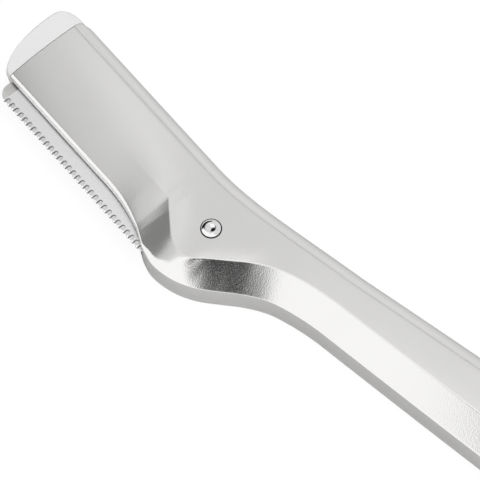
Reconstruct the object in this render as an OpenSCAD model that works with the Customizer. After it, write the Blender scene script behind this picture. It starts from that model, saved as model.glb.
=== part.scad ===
// Eyebrow razor: a cranked metal handle with a flat head, and a slide-in cartridge that
// holds a steel blade behind a comb guard.
// X runs along the handle towards its butt, the blade is on the -Y side, and Z rises out
// of the front face. The origin is the axis of the neck rivet on the flat back.

/* [Body] */
// Height of the front face above the flat back
body_t = 5.8; // [5.4:0.1:6.4]
// How far the blade-side edge lies below the front face
edge_drop = 1.1; // [0.8:0.05:1.3]
// Width of the rounding along the spine edge
spine_round_w = 1.75; // [1.4:0.05:1.9]
// Height of the rounding along the spine edge
spine_round_h = 1.6; // [1.2:0.05:1.9]
// Rounding on top of the blade-side wall: twice this at the head, half of it at the handle
edge_r = 0.3; // [0.2:0.05:0.4]
// Rounding of the edges of the flat back
back_r = 0.3; // [0.2:0.05:0.4]

/* [Head] */
// Length of the head from the rivet axis to the end of the shell
head_l = 37.2; // [35:0.2:42]
// Angle between the head and the handle
head_angle = 11.2; // [8:0.1:14]
// Distance from the rivet line to the blade-side edge of the head
head_edge_w = 6.15; // [5.8:0.05:6.4]
// Distance from the rivet line to the spine at the tip
head_spine_w = 7.5; // [7.3:0.05:8.2]
// Distance from the rivet line to the spine at the neck
neck_spine_w = 7.05; // [6.9:0.05:7.6]
// Radius of the spine corner at the tip
tip_corner_r = 2.2; // [1.8:0.1:2.4]
// Distance from the rivet axis to the foot of the ramp between head and neck
ramp_foot_s = 7.5; // [7:0.1:8.5]
// Distance from the rivet line to the top of the ramp
ramp_top_w = 1.35; // [0.8:0.05:2]
// Length of the ramp's lead-in along the head
ramp_lead = 2.25; // [1.8:0.05:2.5]
// Distance from the rivet line to where the head's face starts to fall to its edge
crown_w = 3.3; // [3:0.1:3.6]
// Distance from the rivet axis to where the head's edge starts to sweep out
sweep_start_s = 15.5; // [13:0.1:18]
// How far the head's edge has swept out at the foot of the ramp
sweep_w = 1.15; // [0.8:0.05:1.4]

/* [Handle] */
// Length of the handle from the rivet axis to the butt
handle_l = 105; // [90:1:120]
// Distance from the rivet axis to the end of the neck
neck_l = 20.5; // [18:0.5:24]
// Depth of the neck bulge below the rivet axis
bulge_d = 8.95; // [8.7:0.05:9.4]
// Rounding on top of the neck bulge's side
bulge_r = 0.9; // [0.6:0.05:1.1]
// Offset of the handle's centre line towards the spine
handle_offset = 2.55; // [2.2:0.05:3]
// Width of the handle at the end of the neck
neck_w = 9.9; // [9.4:0.1:10.6]
// Width of the handle at its widest
swell_w = 12.1; // [11:0.1:13]
// Distance from the rivet axis to the widest place
swell_x = 72; // [60:1:80]
// Width of the handle at the butt
butt_w = 11.2; // [10:0.1:12]
// Width of the bevel along the blade side
bevel_w = 4.35; // [4:0.05:4.6]

/* [Back cover] */
// Thickness of the back cover
cover_t = 1.8; // [1.6:0.05:1.9]
// Width of the shell's rim round the back cover
rim_w = 1.1; // [0.9:0.05:1.3]
// Gap between the back cover and the shell's rim
cover_gap = 0.05; // [0.02:0.01:0.1]
// Wall left round the hollow of the handle
hollow_wall = 1.7; // [1.5:0.1:2]
// Height of the hollow above the back cover
hollow_h = 2.1; // [1.5:0.1:2.2]
// Diameter of the locating pins
pin_d = 2; // [1.6:0.1:2.2]
// Diameter of the bosses that hold the pins
boss_d = 4.6; // [4:0.1:5]
// Distance from the rivet axis to the first pin
pin_x = 34; // [28:1:40]
// Distance from the first pin to the second
pin_pitch = 56; // [45:1:60]
// Width of the rib that guides the cartridge
rib_w = 1; // [0.8:0.05:1.2]
// Distance from the rivet line to the rib's spine side
rib_spine_w = 3.4; // [3:0.1:3.6]
// Distance from the rivet axis to the start of the rib
rib_start_s = 9; // [8:0.5:12]

/* [Rivet] */
// Diameter of the rivet's polished head
rivet_head_d = 2.86; // [2.6:0.02:3]
// Height of the rivet's head above the front face
rivet_head_h = 0.5; // [0.3:0.05:0.7]
// Diameter of the rivet's shank
rivet_shank_d = 1.8; // [1.6:0.05:1.9]
// Diameter of the rivet cap's flange on the back
rivet_flange_d = 3.7; // [3.4:0.05:4]
// Thickness of the rivet cap's flange
rivet_flange_t = 0.65; // [0.5:0.05:0.8]
// Wall of the rivet cap's sleeve
rivet_sleeve_wall = 0.4; // [0.3:0.05:0.5]

/* [Cartridge] */
// Height of the cartridge slot above the back cover
slot_h = 1.5; // [1.45:0.05:1.6]
// Distance from the rivet line to the slot's wall on the spine side
slot_spine_w = 5.5; // [5.4:0.05:5.6]
// Distance from the rivet axis to the slot's end wall
slot_end_s = 4.3; // [4:0.1:4.6]
// Running gap round the cartridge in its slot
run_gap = 0.06; // [0.04:0.01:0.08]
// Thickness of the carrier's tongue
tongue_t = 0.9; // [0.85:0.05:0.95]
// Reach of the end cap beyond the end of the shell
cap_l = 4.4; // [3.8:0.1:5]
// Radius of the end cap's round front and back edges
cap_edge_r = 2.1; // [1.6:0.1:2.4]
// Distance from the rivet line to the furthest point of the end cap
cap_peak_w = 4.1; // [3.5:0.1:4.6]

/* [Blade] */
// Thickness of the blade
blade_t = 0.15; // [0.12:0.01:0.18]
// Distance from the rivet line to the cutting edge
blade_edge_w = 8.72; // [8.6:0.02:8.8]
// Width of the blade
blade_w = 6.6; // [6:0.1:7]
// Width of the ground edge
ground_w = 0.9; // [0.6:0.05:1.1]
// Gap between the blade's neck end and the slot's end wall
blade_end_gap = 0.25; // [0.2:0.05:0.4]
// Radius of the blade's round corner at the tip
blade_corner_r = 2.3; // [1.8:0.1:2.4]
// Diameter of the studs that hold the blade
stud_d = 1.5; // [1.3:0.1:1.7]
// Distance between the studs
stud_pitch = 11; // [10:0.5:11.5]

/* [Guard] */
// Bare blade left between the guard and the end of the shell, at the least
guard_tip_gap = 1.5; // [1.2:0.1:3]
// Distance between two comb slots
guard_pitch = 1; // [0.9:0.02:1]
// Depth of a comb slot
comb_depth = 0.85; // [0.7:0.05:1.1]
// Width of a comb slot
comb_w = 0.62; // [0.5:0.02:0.7]
// Thickness of the guard's foil
foil_t = 0.15; // [0.12:0.01:0.16]
// Gap between the foil and the blade
foil_gap = 0.025; // [0.02:0.005:0.03]
// Reach of the guard's upper leaf from the comb's edge
guard_top_w = 4.4; // [3.6:0.1:4.8]

/* [Detent spring] */
// Thickness of the leaf spring
spring_t = 0.2; // [0.15:0.01:0.22]
// Width of the leaf spring
spring_w = 3; // [2.6:0.1:3.2]
// Length of the leaf spring from the rivet axis
spring_l = 12.4; // [11.5:0.1:13]
// Height of the hump that clicks into the carrier
hump_h = 0.38; // [0.3:0.02:0.4]
// Length of the hump
hump_l = 2.4; // [2:0.1:2.6]

/* [Hidden] */

overrun = body_t / 2;
fit_gap = 0.05;
round_fn = 48;
small_fn = 24;
butt_end_angle = 88;
slot_top = cover_t + slot_h;
wall_top_z = body_t - spine_round_h;
edge_z = body_t - edge_drop;
comb_edge_w = blade_edge_w + foil_t;

// Shares of the widths of the spine's rounding, the face and the bevel at their lines
round_shares = [0, 0.1, 0.38, 0.7, 1];
round_end_angle = 72;
face_shares = [0.3, 0.6, 0.9];
bevel_shares = [0, 0.33, 0.67];
crown_power = 2;
crown_start = neck_spine_w - spine_round_w - crown_w;

// Places along the neck, counted in stations: where the ramp rises, where the head's crown
// turns level, where the bulge's bevel turns round and flat again, and where its edge does
ramp_shares = [-1, 0.6];
ramp_power = 1.3;
level_shares = [-3.5, 0.5];
bulge_crown_share = 0.65;
round_in_shares = [1.6, 2.8];
round_out_shares = [3, 4.2];
crisp_shares = [2.6, 4.5];

// Neck stations: the blade-side wall as shares of neck_l and bulge_d, then the way from
// the wall to the ridge as shares of bevel_w
neck_shares = [
    [-0.354, -0.757, 0.44, 1.00],
    [-0.271, -0.890, 0.54, 0.80],
    [-0.154, -0.993, 0.44, 0.83],
    [0.012, -0.990, 0.07, 0.87],
    [0.168, -0.888, -0.23, 0.97],
    [0.314, -0.704, -0.34, 0.97],
    [0.462, -0.503, -0.37, 0.97],
    [0.622, -0.354, -0.32, 0.98],
    [0.808, -0.287, -0.23, 1.00],
];
neck_steps = 3;
hump_steps = 8;
neck_pull_share = 0.366;
handle_pull_share = 0.634;
hump_share = 0.82;

function mix(a, b, t) = a + (b - a) * t;
function unit(v) = v / norm(v);
function inward(tangent) = unit([tangent.y, -tangent.x]);
function spline(a, b, c, d, t) =
    (2 * b + (c - a) * t + (2 * a - 5 * b + 4 * c - d) * t * t
    + (3 * b - a - 3 * c + d) * t * t * t) / 2;
function bezier(a, b, c, d, t) =
    a * pow(1 - t, 3) + 3 * b * t * pow(1 - t, 2) + 3 * c * t * t * (1 - t) + d * pow(t, 3);
function bezier_way(a, b, c, d, t) =
    (b - a) * pow(1 - t, 2) + 2 * (c - b) * t * (1 - t) + (d - c) * t * t;

// A place in the head: s along it from the rivet axis to the tip, w across it to the spine
function in_head(s, w) =
    [w * sin(head_angle) - s * cos(head_angle), s * sin(head_angle) + w * cos(head_angle)];
function head_inward() = -in_head(0, 1);

function spine_at(s) = mix(neck_spine_w, head_spine_w, s / head_l);
function sweep_at(s) = sweep_w * pow(max(0, sweep_start_s - s) / (sweep_start_s - ramp_foot_s), 2);
function edge_at(s) = -head_edge_w - sweep_at(s);
function smooth(t) = let (k = min(1, max(0, t))) k * k * (3 - 2 * k);
function smooth_between(ends, t) = smooth((t - ends[0]) / (ends[1] - ends[0]));
function round_z(inset) =
    let (a = acos(1 - inset / spine_round_w * (1 - cos(round_end_angle))))
    wall_top_z + spine_round_h * sin(a) / sin(round_end_angle);
function at_z(p, z) = [p.x, p.y, z];

// The blade side at a place counted in neck stations, below 0 in the head: how far the ramp
// has turned the crown to a bevel, how level the face is, how round the bevel is, and the
// rounding on top of the side
function side_at(place) =
    let (ramp = min(1, max(0, (place - ramp_shares[0]) / (ramp_shares[1] - ramp_shares[0]))),
        near = smooth(1 + place / 2),
        round_in = smooth_between(round_in_shares, place),
        round_out = smooth_between(round_out_shares, place))
    [pow(ramp, ramp_power), smooth_between(level_shares, place),
        bulge_crown_share * round_in * (1 - round_out),
        mix(mix(2 * edge_r, bulge_r, near), edge_r / 2, smooth_between(crisp_shares, place))];
function crown_share(t, total) =
    pow(max(0, t - crown_start) / (total - crown_start), crown_power);
// Height of the front at t across it from the crease, with its ridge at ridge_t
function top_z(t, total, ridge_t, side) =
    let (crowned = crown_share(t, total), at_ridge = crown_share(ridge_t, total),
        v = (t - ridge_t) / (total - ridge_t),
        fallen = mix((crowned - at_ridge) / (1 - at_ridge), v * mix(1, v, side[2]), side[0]))
    body_t - edge_drop
        * (v < 0 ? crowned * (1 - side[1]) : mix(at_ridge * (1 - side[1]), 1, fallen));

// One cross-section of the body, from the back's spine edge over the face to the back's
// blade edge: spine point p with its inward way n, ridge point e and wall point w.
// cut is how far a corner cuts into the spine.
function section(p, n, cut, e, w, side) =
    let (crease = p + n * spine_round_w, way = unit(e - w),
        face_l = norm(e - crease), bevel_l = norm(w - e), total = face_l + bevel_l,
        edge_share = 1 - side[3] / bevel_l,
        start = at_z(mix(e, w, edge_share),
            top_z(face_l + bevel_l * edge_share, total, face_l, side)),
        peak = at_z(w, edge_z), stop = at_z(w, edge_z - side[3]))
    concat(
        [at_z(p + n * (cut + back_r), 0), at_z(p + n * cut, back_r)],
        [for (k = round_shares)
            let (inset = mix(cut, spine_round_w, k)) at_z(p + n * inset, round_z(inset))],
        [for (k = face_shares)
            at_z(mix(crease, e, k), top_z(face_l * k, total, face_l, side))],
        [for (k = bevel_shares)
            let (u = k * edge_share)
            at_z(mix(e, w, u), top_z(face_l + bevel_l * u, total, face_l, side))],
        [start, (start + 2 * peak + stop) / 4, stop],
        [at_z(w, back_r), at_z(w + way * back_r, 0)]);

function corner_cut(s) =
    let (past = max(0, s - tip_corner_s)) tip_corner_r - sqrt(pow(tip_corner_r, 2) - past * past);
tip_corner_angle = 72;
tip_corner_s = head_l - tip_corner_r * sin(tip_corner_angle);

function head_section(s) =
    section(in_head(s, spine_at(s)), head_inward(), corner_cut(s),
        in_head(s, -ramp_top_w), in_head(s, edge_at(s)),
        side_at(ramp_shares[0] * (s - ramp_foot_s) / ramp_lead));

corner_places = [for (a = [tip_corner_angle : -tip_corner_angle / 4 : 1])
    tip_corner_s + tip_corner_r * sin(a)];
sweep_places = [for (k = [0 : 2]) mix(sweep_start_s, ramp_foot_s + ramp_lead, k / 3)];
lead_places = [for (k = [0 : 2]) ramp_foot_s + ramp_lead * (1 - k / 3)];
head_places = concat(corner_places, [tip_corner_s, mix(tip_corner_s, sweep_start_s, 1 / 2)],
    sweep_places, lead_places);

// Handle outline: half widths about the offset centre line
butt_r = butt_w / 2;
butt_x = handle_l - butt_r;
function handle_w(x) = x < swell_x
    ? mix(neck_w, swell_w, sin(90 * (x - neck_l) / (swell_x - neck_l)))
    : mix(swell_w, butt_w, 1 - cos(90 * (x - swell_x) / (butt_x - swell_x)));
function handle_section(x) =
    let (h = handle_w(x) / 2)
    section([x, handle_offset + h], [0, -1], 0,
        [x, handle_offset - h + bevel_w], [x, handle_offset - h], side_at(crisp_shares[1]));

// Neck: the spine is one smooth pull from the head's line to the handle's, and the ridge
// and the blade-side wall pass through the neck stations
foot_wall = in_head(ramp_foot_s, edge_at(ramp_foot_s));
foot_ridge = in_head(ramp_foot_s, -ramp_top_w);
foot_spine = in_head(ramp_foot_s, spine_at(ramp_foot_s));
head_way = unit(foot_spine - in_head(head_l, head_spine_w));
neck_end_wall = [neck_l, handle_offset - neck_w / 2];
neck_end_spine = [neck_l, handle_offset + neck_w / 2];
neck_pull = foot_spine + head_way * neck_l * neck_pull_share;
handle_pull = neck_end_spine - [neck_l * handle_pull_share, 0];
function both(wall, ridge) = [wall.x, wall.y, ridge.x, ridge.y];
neck_stations = concat(
    [both(foot_wall, foot_ridge)],
    [for (k = neck_shares)
        let (wall = [neck_l * k[0], bulge_d * k[1]]) both(wall, wall + bevel_w * [k[2], k[3]])],
    [both(neck_end_wall, neck_end_wall + [0, bevel_w])]);
neck_count = len(neck_stations) - 1;
before_neck_s = mix(ramp_foot_s, sweep_start_s, 1 / 5);
before_neck = both(in_head(before_neck_s, edge_at(before_neck_s)),
    2 * foot_ridge - [neck_stations[1][2], neck_stations[1][3]]);
after_neck_x = mix(neck_l, swell_x, 1 / 10);
after_neck_wall = [after_neck_x, handle_offset - handle_w(after_neck_x) / 2];
neck_line = concat([before_neck], neck_stations,
    [both(after_neck_wall, after_neck_wall + [0, bevel_w])]);
function neck_section(k, t) =
    let (q = spline(neck_line[k], neck_line[k + 1], neck_line[k + 2], neck_line[k + 3], t),
        u = (k + t) / neck_count,
        p = bezier(foot_spine, neck_pull, handle_pull, neck_end_spine, u),
        way = bezier_way(foot_spine, neck_pull, handle_pull, neck_end_spine, u))
    section(p, inward(way), 0, [q[2], q[3]], [q[0], q[1]], side_at(k + t));

// Butt: the lines of both sides run round to meet at the end
butt_side = handle_section(butt_x);
rail_count = len(butt_side);
function inset_of(p) = butt_r - abs(p.y - handle_offset);
function pair_of(i) = i < rail_count / 2 ? i : rail_count - 1 - i;
function round_butt(a) =
    [for (i = [0 : rail_count - 1])
        let (own = butt_side[i], other = butt_side[pair_of(i)],
            inset = mix(inset_of(own), inset_of(other), sin(a)),
            side = sign(own.y - handle_offset))
        [butt_x + (butt_r - inset) * sin(a),
            handle_offset + side * (butt_r - inset) * cos(a),
            mix(own.z, other.z, sin(a))]];

handle_places = [for (k = [1 : 5]) mix(neck_l, butt_x, k / 6)];
butt_angles = [for (k = [1 : 6]) butt_end_angle * k / 6];
body_sections = concat(
    [for (s = head_places) head_section(s)],
    [for (k = [0 : neck_count - 1], j = [0 : neck_steps - 1]) neck_section(k, j / neck_steps)],
    [handle_section(neck_l)],
    [for (x = handle_places) handle_section(x)],
    [butt_side],
    [for (a = butt_angles) round_butt(a)]);

// A closed skin over cross-sections that have the same number of points
module skin(sections) {
    n = len(sections[0]);
    last = len(sections) - 1;
    half = n / 2;
    points = [for (row = sections, p = row) p];
    sides = [for (r = [0 : last - 1], i = [0 : n - 1])
        let (a = r * n + i, b = r * n + (i + 1) % n) each [[a, a + n, b], [b, a + n, b + n]]];
    ends = [for (i = [0 : half - 2])
        let (a = i, b = i + 1, c = n - 2 - i, d = n - 1 - i, top = last * n)
        each [[a, b, d], [b, c, d], [top + a, top + d, top + b], [top + b, top + d, top + c]]];
    polyhedron(points, concat(sides, ends));
}

// Lines that the rim and the hollow follow, set in from the outline
wall_rail = rail_count - 2;
neck_start = len(head_places);
function side_line(i, first) =
    [for (r = [first : len(body_sections) - 1]) [body_sections[r][i].x, body_sections[r][i].y]];
function inset_line(line, d) =
    [for (i = [0 : len(line) - 1])
        let (a = line[max(0, i - 1)], b = line[min(len(line) - 1, i + 1)])
        line[i] + d * unit([-(b - a).y, (b - a).x])];
function turned(line) = [for (i = [len(line) - 1 : -1 : 0]) line[i]];

cover_neck_s = ramp_foot_s - edge_r;
cover_first = neck_start + 3 * neck_steps;
neck_step_share = 0.814;
cover_step_w = -bulge_d * neck_step_share;
head_far_w = -blade_edge_w - overrun;
// The back cover's outline without its blade side in the head, set in by a gap
function rim_line(gap, tip_s) = concat(
    [in_head(tip_s, slot_spine_w - gap), in_head(ramp_foot_s, slot_spine_w - gap)],
    inset_line(side_line(1, neck_start + neck_steps), -rim_w - gap),
    turned(inset_line(side_line(wall_rail, cover_first), rim_w + gap)),
    [in_head(cover_neck_s + gap, cover_step_w)]);
cover_edge_places = [cover_neck_s + cover_gap, mix(ramp_foot_s, sweep_start_s, 1 / 3),
    mix(ramp_foot_s, sweep_start_s, 2 / 3), sweep_start_s, head_l];
cover_outline = concat(rim_line(cover_gap, head_l),
    [for (s = cover_edge_places) in_head(s, edge_at(s))]);
pocket_outline = concat(rim_line(0, head_l + overrun),
    [in_head(cover_neck_s, head_far_w), in_head(head_l + overrun, head_far_w)]);

hollow_start = neck_l / 2;
function hollow_line(i, side) =
    [for (p = inset_line(side_line(i, neck_start), side * hollow_wall))
        if (p.x > hollow_start && p.x < butt_x) p];
hollow_outline = concat(hollow_line(1, -1), turned(hollow_line(wall_rail, 1)));
pin_places = [for (k = [0, 1]) [pin_x + k * pin_pitch, handle_offset]];
pin_top = cover_t + hollow_h * 4 / 5;
pin_foot = cover_t / 2;
rib_h = slot_h / 3;

// Rivet: its seat in the face, its rim, and the foot of the shank in the cap
rivet_seat_h = rivet_head_h * 2 / 5;
rivet_edge_h = rivet_head_h / 4;
rivet_foot = rivet_flange_t / 2;
rivet_sleeve_d = rivet_shank_d + 2 * rivet_sleeve_wall;
dimple_r = rivet_head_d / 4;

// Moves its children into the head's own frame: X' from the tip to the neck, Y' to the spine
module head_frame() {
    rotate([0, 0, -head_angle])
        children();
}

module slab(s0, s1, w0, w1, z0, z1) {
    head_frame()
        translate([-s1, w0, z0])
            cube([s1 - s0, w1 - w0, z1 - z0]);
}

// The front half: face, spine, bevelled side and the head's upper jaw in one casting
module front_shell() {
    color("silver") {
        difference() {
            skin(body_sections);
            translate([0, 0, -overrun])
                linear_extrude(overrun + cover_t)
                    polygon(pocket_outline);
            slab(slot_end_s, head_l + overrun, head_far_w, slot_spine_w, cover_t, slot_top);
            slab(-spring_w, slot_end_s + overrun, -spring_w / 2 - fit_gap, spring_w / 2 + fit_gap,
                cover_t, cover_t + spring_t + fit_gap);
            difference() {
                translate([0, 0, cover_t])
                    linear_extrude(hollow_h)
                        polygon(hollow_outline);
                for (p = pin_places)
                    translate([p.x, p.y, 0])
                        cylinder(d = boss_d, h = body_t, $fn = round_fn);
            }
            for (p = pin_places)
                translate([p.x, p.y, 0])
                    cylinder(d = pin_d, h = pin_top, $fn = round_fn);
            cylinder(d = rivet_shank_d + 2 * fit_gap, h = body_t + overrun, $fn = round_fn);
            translate([0, 0, body_t - rivet_seat_h])
                cylinder(d = rivet_head_d + 2 * fit_gap, h = overrun, $fn = round_fn);
        }
    }
}
// The back half: a flat plate that closes the shell and makes the head's lower jaw
module back_cover() {
    color("lightgray") {
        difference() {
            union() {
                linear_extrude(cover_t)
                    polygon(cover_outline);
                slab(rib_start_s, head_l - rib_w, rib_spine_w - rib_w, rib_spine_w,
                    cover_t / 2, cover_t + rib_h);
            }
            for (p = pin_places)
                translate([p.x, p.y, pin_foot])
                    cylinder(d = pin_d, h = body_t, $fn = round_fn);
            cylinder(d = rivet_sleeve_d + 2 * fit_gap, h = body_t, $fn = round_fn);
            translate([0, 0, -overrun])
                cylinder(d = rivet_flange_d + 2 * fit_gap, h = overrun + rivet_flange_t,
                    $fn = round_fn);
        }
    }
}

// Male half of the neck rivet, with a polished domed head that has a small dimple
module rivet_post() {
    head_r = rivet_head_d / 2;
    dome_h = rivet_head_h - rivet_edge_h;
    ball_r = (head_r * head_r + dome_h * dome_h) / (2 * dome_h);
    seat_z = body_t - rivet_seat_h;
    color("white") {
        difference() {
            union() {
                translate([0, 0, rivet_foot])
                    cylinder(d = rivet_shank_d, h = seat_z - rivet_foot, $fn = round_fn);
                translate([0, 0, seat_z])
                    cylinder(d = rivet_head_d, h = rivet_seat_h + rivet_edge_h, $fn = round_fn);
                intersection() {
                    translate([0, 0, body_t + rivet_edge_h + dome_h - ball_r])
                        sphere(r = ball_r, $fn = round_fn);
                    translate([0, 0, body_t])
                        cylinder(d = rivet_head_d, h = overrun, $fn = round_fn);
                }
            }
            translate([0, 0, body_t + rivet_head_h + dimple_r * 2 / 3])
                sphere(r = dimple_r, $fn = small_fn);
        }
    }
}

// Female half of the neck rivet, flush in the back
module rivet_cap() {
    color("gainsboro") {
        difference() {
            union() {
                cylinder(d = rivet_flange_d, h = rivet_flange_t, $fn = round_fn);
                cylinder(d = rivet_sleeve_d, h = cover_t, $fn = round_fn);
            }
            translate([0, 0, rivet_foot])
                cylinder(d = rivet_shank_d, h = body_t, $fn = round_fn);
        }
    }
}

// Leaf spring held under the rivet, whose hump clicks into the carrier's underside
hump_s = spring_l * hump_share;
hump_line = [for (k = [0 : hump_steps])
    [hump_s + hump_l * (k / hump_steps - 1 / 2), hump_h * (1 - cos(360 * k / hump_steps)) / 2]];
module detent_spring() {
    lower = concat([[-spring_w / 2, 0]], hump_line, [[spring_l, 0]]);
    upper = [for (p = turned(lower)) p + [0, spring_t]];
    color("darkgray") {
        difference() {
            head_frame()
                translate([0, spring_w / 2, cover_t])
                    rotate([90, 0, 0])
                        mirror([1, 0, 0])
                            linear_extrude(spring_w)
                                polygon(concat(lower, upper));
            cylinder(d = rivet_shank_d + 2 * fit_gap, h = body_t, $fn = round_fn);
        }
    }
}

// Two press pins that line up the two halves of the handle
module locating_pins() {
    color("gray") {
        for (p = pin_places)
            translate([p.x, p.y, pin_foot])
                cylinder(d = pin_d, h = pin_top - pin_foot, $fn = round_fn);
    }
}

// Carrier: the tongue that slides into the head, its studs, and the round end cap
tongue_z = cover_t + run_gap;
tongue_top = tongue_z + tongue_t;
tongue_edge_w = head_edge_w - comb_depth / 3;
tongue_end_s = slot_end_s + blade_end_gap + run_gap;
guide_w = slot_spine_w - rib_spine_w - 3 * run_gap;
blade_z = tongue_top;
guard_low_z = blade_z - foil_gap - foil_t;
guard_high_z = blade_z + blade_t + foil_gap + foil_t;
stud_w = -tongue_edge_w + stud_d + foil_t;
stud_places = [for (k = [-1 : 1]) [-head_l / 2 - cap_l / 2 + k * stud_pitch, stud_w]];
stud_head_t = slot_top - run_gap - guard_high_z;
cap_start_s = head_l + 2 * run_gap;
cap_low_w = head_edge_w + edge_r;
cap_low_power = 2;
cap_high_power = 2.6;

function cap_point(a, inset) =
    let (low = sin(a) < 0,
        power = low ? cap_low_power : cap_high_power,
        across = (low ? cap_peak_w + cap_low_w : head_spine_w - cap_peak_w) - inset)
    [-cap_start_s - (cap_l - inset) * pow(cos(a), 2 / power),
        cap_peak_w + sign(sin(a)) * across * pow(abs(sin(a)), 2 / power)];
cap_turns = [for (a = [-90 : 10 : 90]) a];
cap_levels = [for (a = [-60 : 30 : 60]) a];
cap_thin = foil_t / 10;
module cap_form() {
    hull()
        for (a = cap_levels)
            translate([0, 0, body_t / 2 * (1 + sin(a) / sin(cap_levels[len(cap_levels) - 1]))
                - (a > 0 ? cap_thin : 0)])
                linear_extrude(cap_thin)
                    polygon([for (t = cap_turns) cap_point(t, cap_edge_r * (1 - cos(a)))]);
}

// The head's cross-section, as an outline across the head
function head_profile() =
    let (s = tip_corner_s, row = head_section(s))
    [for (i = [1 : rail_count - 2])
        let (p = row[i]) [p.y * cos(head_angle) + p.x * sin(head_angle), p.z]];

module end_cap() {
    head_frame()
        intersection() {
            cap_form();
            translate([-cap_start_s - cap_l, 0, 0])
                rotate([90, 0, 90])
                    linear_extrude(cap_l + overrun)
                        polygon(concat([[-head_edge_w, 0]], turned(head_profile()),
                            [[head_spine_w, 0]]));
        }
}

module blade_carrier() {
    color("whitesmoke") {
        difference() {
            union() {
                slab(tongue_end_s, cap_start_s + foil_t, -tongue_edge_w, slot_spine_w - run_gap,
                    tongue_z, tongue_top);
                slab(tongue_end_s, cap_start_s + foil_t, slot_spine_w - run_gap - guide_w,
                    slot_spine_w - run_gap, tongue_z, slot_top - run_gap);
                head_frame() {
                    for (p = stud_places)
                        translate([p.x, p.y, tongue_z]) {
                            cylinder(d = stud_d, h = slot_top - run_gap - tongue_z, $fn = small_fn);
                            translate([0, 0, guard_high_z - tongue_z])
                                cylinder(d = stud_d * 3 / 2, h = stud_head_t, $fn = small_fn);
                        }
                }
                end_cap();
            }
            slab(slot_end_s, head_l - rib_w + run_gap, rib_spine_w - rib_w - run_gap,
                rib_spine_w + run_gap, 0, cover_t + rib_h + run_gap);
            slab(slot_end_s, spring_l + run_gap, -spring_w / 2 - run_gap, spring_w / 2 + run_gap,
                0, cover_t + spring_t + run_gap);
            slab(hump_s - hump_l / 2 - run_gap, hump_s + hump_l / 2 + run_gap,
                -spring_w / 2 - run_gap, spring_w / 2 + run_gap,
                0, cover_t + spring_t + hump_h + run_gap);
        }
    }
}

// Blade: a thin steel strip with one ground edge, holes for the studs and a round tip corner
blade_end_s = slot_end_s + blade_end_gap;
blade_tip_s = head_l + run_gap;
module blade() {
    color("lightsteelblue") {
        head_frame() {
            difference() {
                intersection() {
                    translate([-blade_tip_s, 0, blade_z])
                        rotate([90, 0, 90])
                            linear_extrude(blade_tip_s - blade_end_s)
                                polygon([
                                    [-blade_edge_w, blade_t / 2],
                                    [-blade_edge_w + ground_w, 0],
                                    [-blade_edge_w + blade_w, 0],
                                    [-blade_edge_w + blade_w, blade_t],
                                    [-blade_edge_w + ground_w, blade_t]]);
                    translate([0, 0, blade_z - overrun])
                        linear_extrude(2 * overrun)
                            blade_plan();
                }
                stud_holes();
            }
        }
    }
}

module stud_holes() {
    for (p = stud_places)
        translate([p.x, p.y, 0])
            cylinder(d = stud_d + 2 * foil_gap, h = body_t, $fn = small_fn);
}

module blade_plan() {
    union() {
        translate([-blade_tip_s + blade_corner_r, -blade_edge_w - overrun])
            square([blade_tip_s, blade_w + 2 * overrun]);
        translate([-blade_tip_s + blade_corner_r, -blade_edge_w + blade_corner_r])
            circle(r = blade_corner_r, $fn = round_fn);
        translate([-blade_tip_s, -blade_edge_w + blade_corner_r])
            square([blade_tip_s, blade_w + overrun]);
    }
}

// Comb guard: a foil folded over the cutting edge, with a row of round-ended slots
slot_count = floor((head_l - guard_tip_gap - blade_end_s) / guard_pitch);
guard_l = slot_count * guard_pitch;
guard_low_w = comb_edge_w - tongue_edge_w - 2 * foil_t;
module guard_profile() {
    fold_r = (guard_high_z - guard_low_z) / 2;
    inner_r = fold_r - foil_t;
    difference() {
        union() {
            translate([-comb_edge_w + fold_r, guard_low_z + fold_r])
                circle(r = fold_r, $fn = small_fn);
            translate([-comb_edge_w + fold_r, guard_low_z])
                square([guard_top_w - fold_r, 2 * fold_r]);
        }
        translate([-comb_edge_w + foil_t + inner_r, guard_low_z + fold_r])
            circle(r = inner_r, $fn = small_fn);
        translate([-comb_edge_w + foil_t + inner_r, guard_low_z + foil_t])
            square([guard_top_w, 2 * inner_r]);
        translate([-comb_edge_w + guard_low_w, guard_low_z - foil_t])
            square([guard_top_w, 2 * foil_t]);
    }
}

module blade_guard() {
    color("lavender") {
        head_frame() {
            difference() {
                translate([-blade_end_s - guard_l, 0, 0])
                    rotate([90, 0, 90])
                        linear_extrude(guard_l)
                            guard_profile();
                for (k = [0 : slot_count - 1])
                    translate([-blade_end_s - guard_pitch * (k + 1 / 2), -comb_edge_w, 0])
                        comb_slot();
                stud_holes();
            }
        }
    }
}

module comb_slot() {
    straight = comb_depth - comb_w / 2;
    translate([-comb_w / 2, -overrun, 0])
        cube([comb_w, overrun + straight, body_t]);
    translate([0, straight, 0])
        cylinder(d = comb_w, h = body_t, $fn = small_fn);
}

front_shell();
back_cover();
rivet_post();
rivet_cap();
detent_spring();
locating_pins();
blade_carrier();
blade();
blade_guard();
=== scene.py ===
"""Eyebrow razor: a cranked satin handle, its riveted neck and its slide-in blade cartridge.

Sizes are in metres. X runs along the handle towards its butt, the blade is on the -Y side and
Z rises out of the front face. In the head, s runs from the rivet to the tip and w runs across
it to the spine.
"""

import functools
from collections import namedtuple
from math import acos, copysign, cos, inf, pi, radians, sin, sqrt, tau

import bmesh
import bpy
from bpy.props import FloatProperty, FloatVectorProperty, IntProperty, PointerProperty
from mathutils import Matrix, Vector


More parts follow.
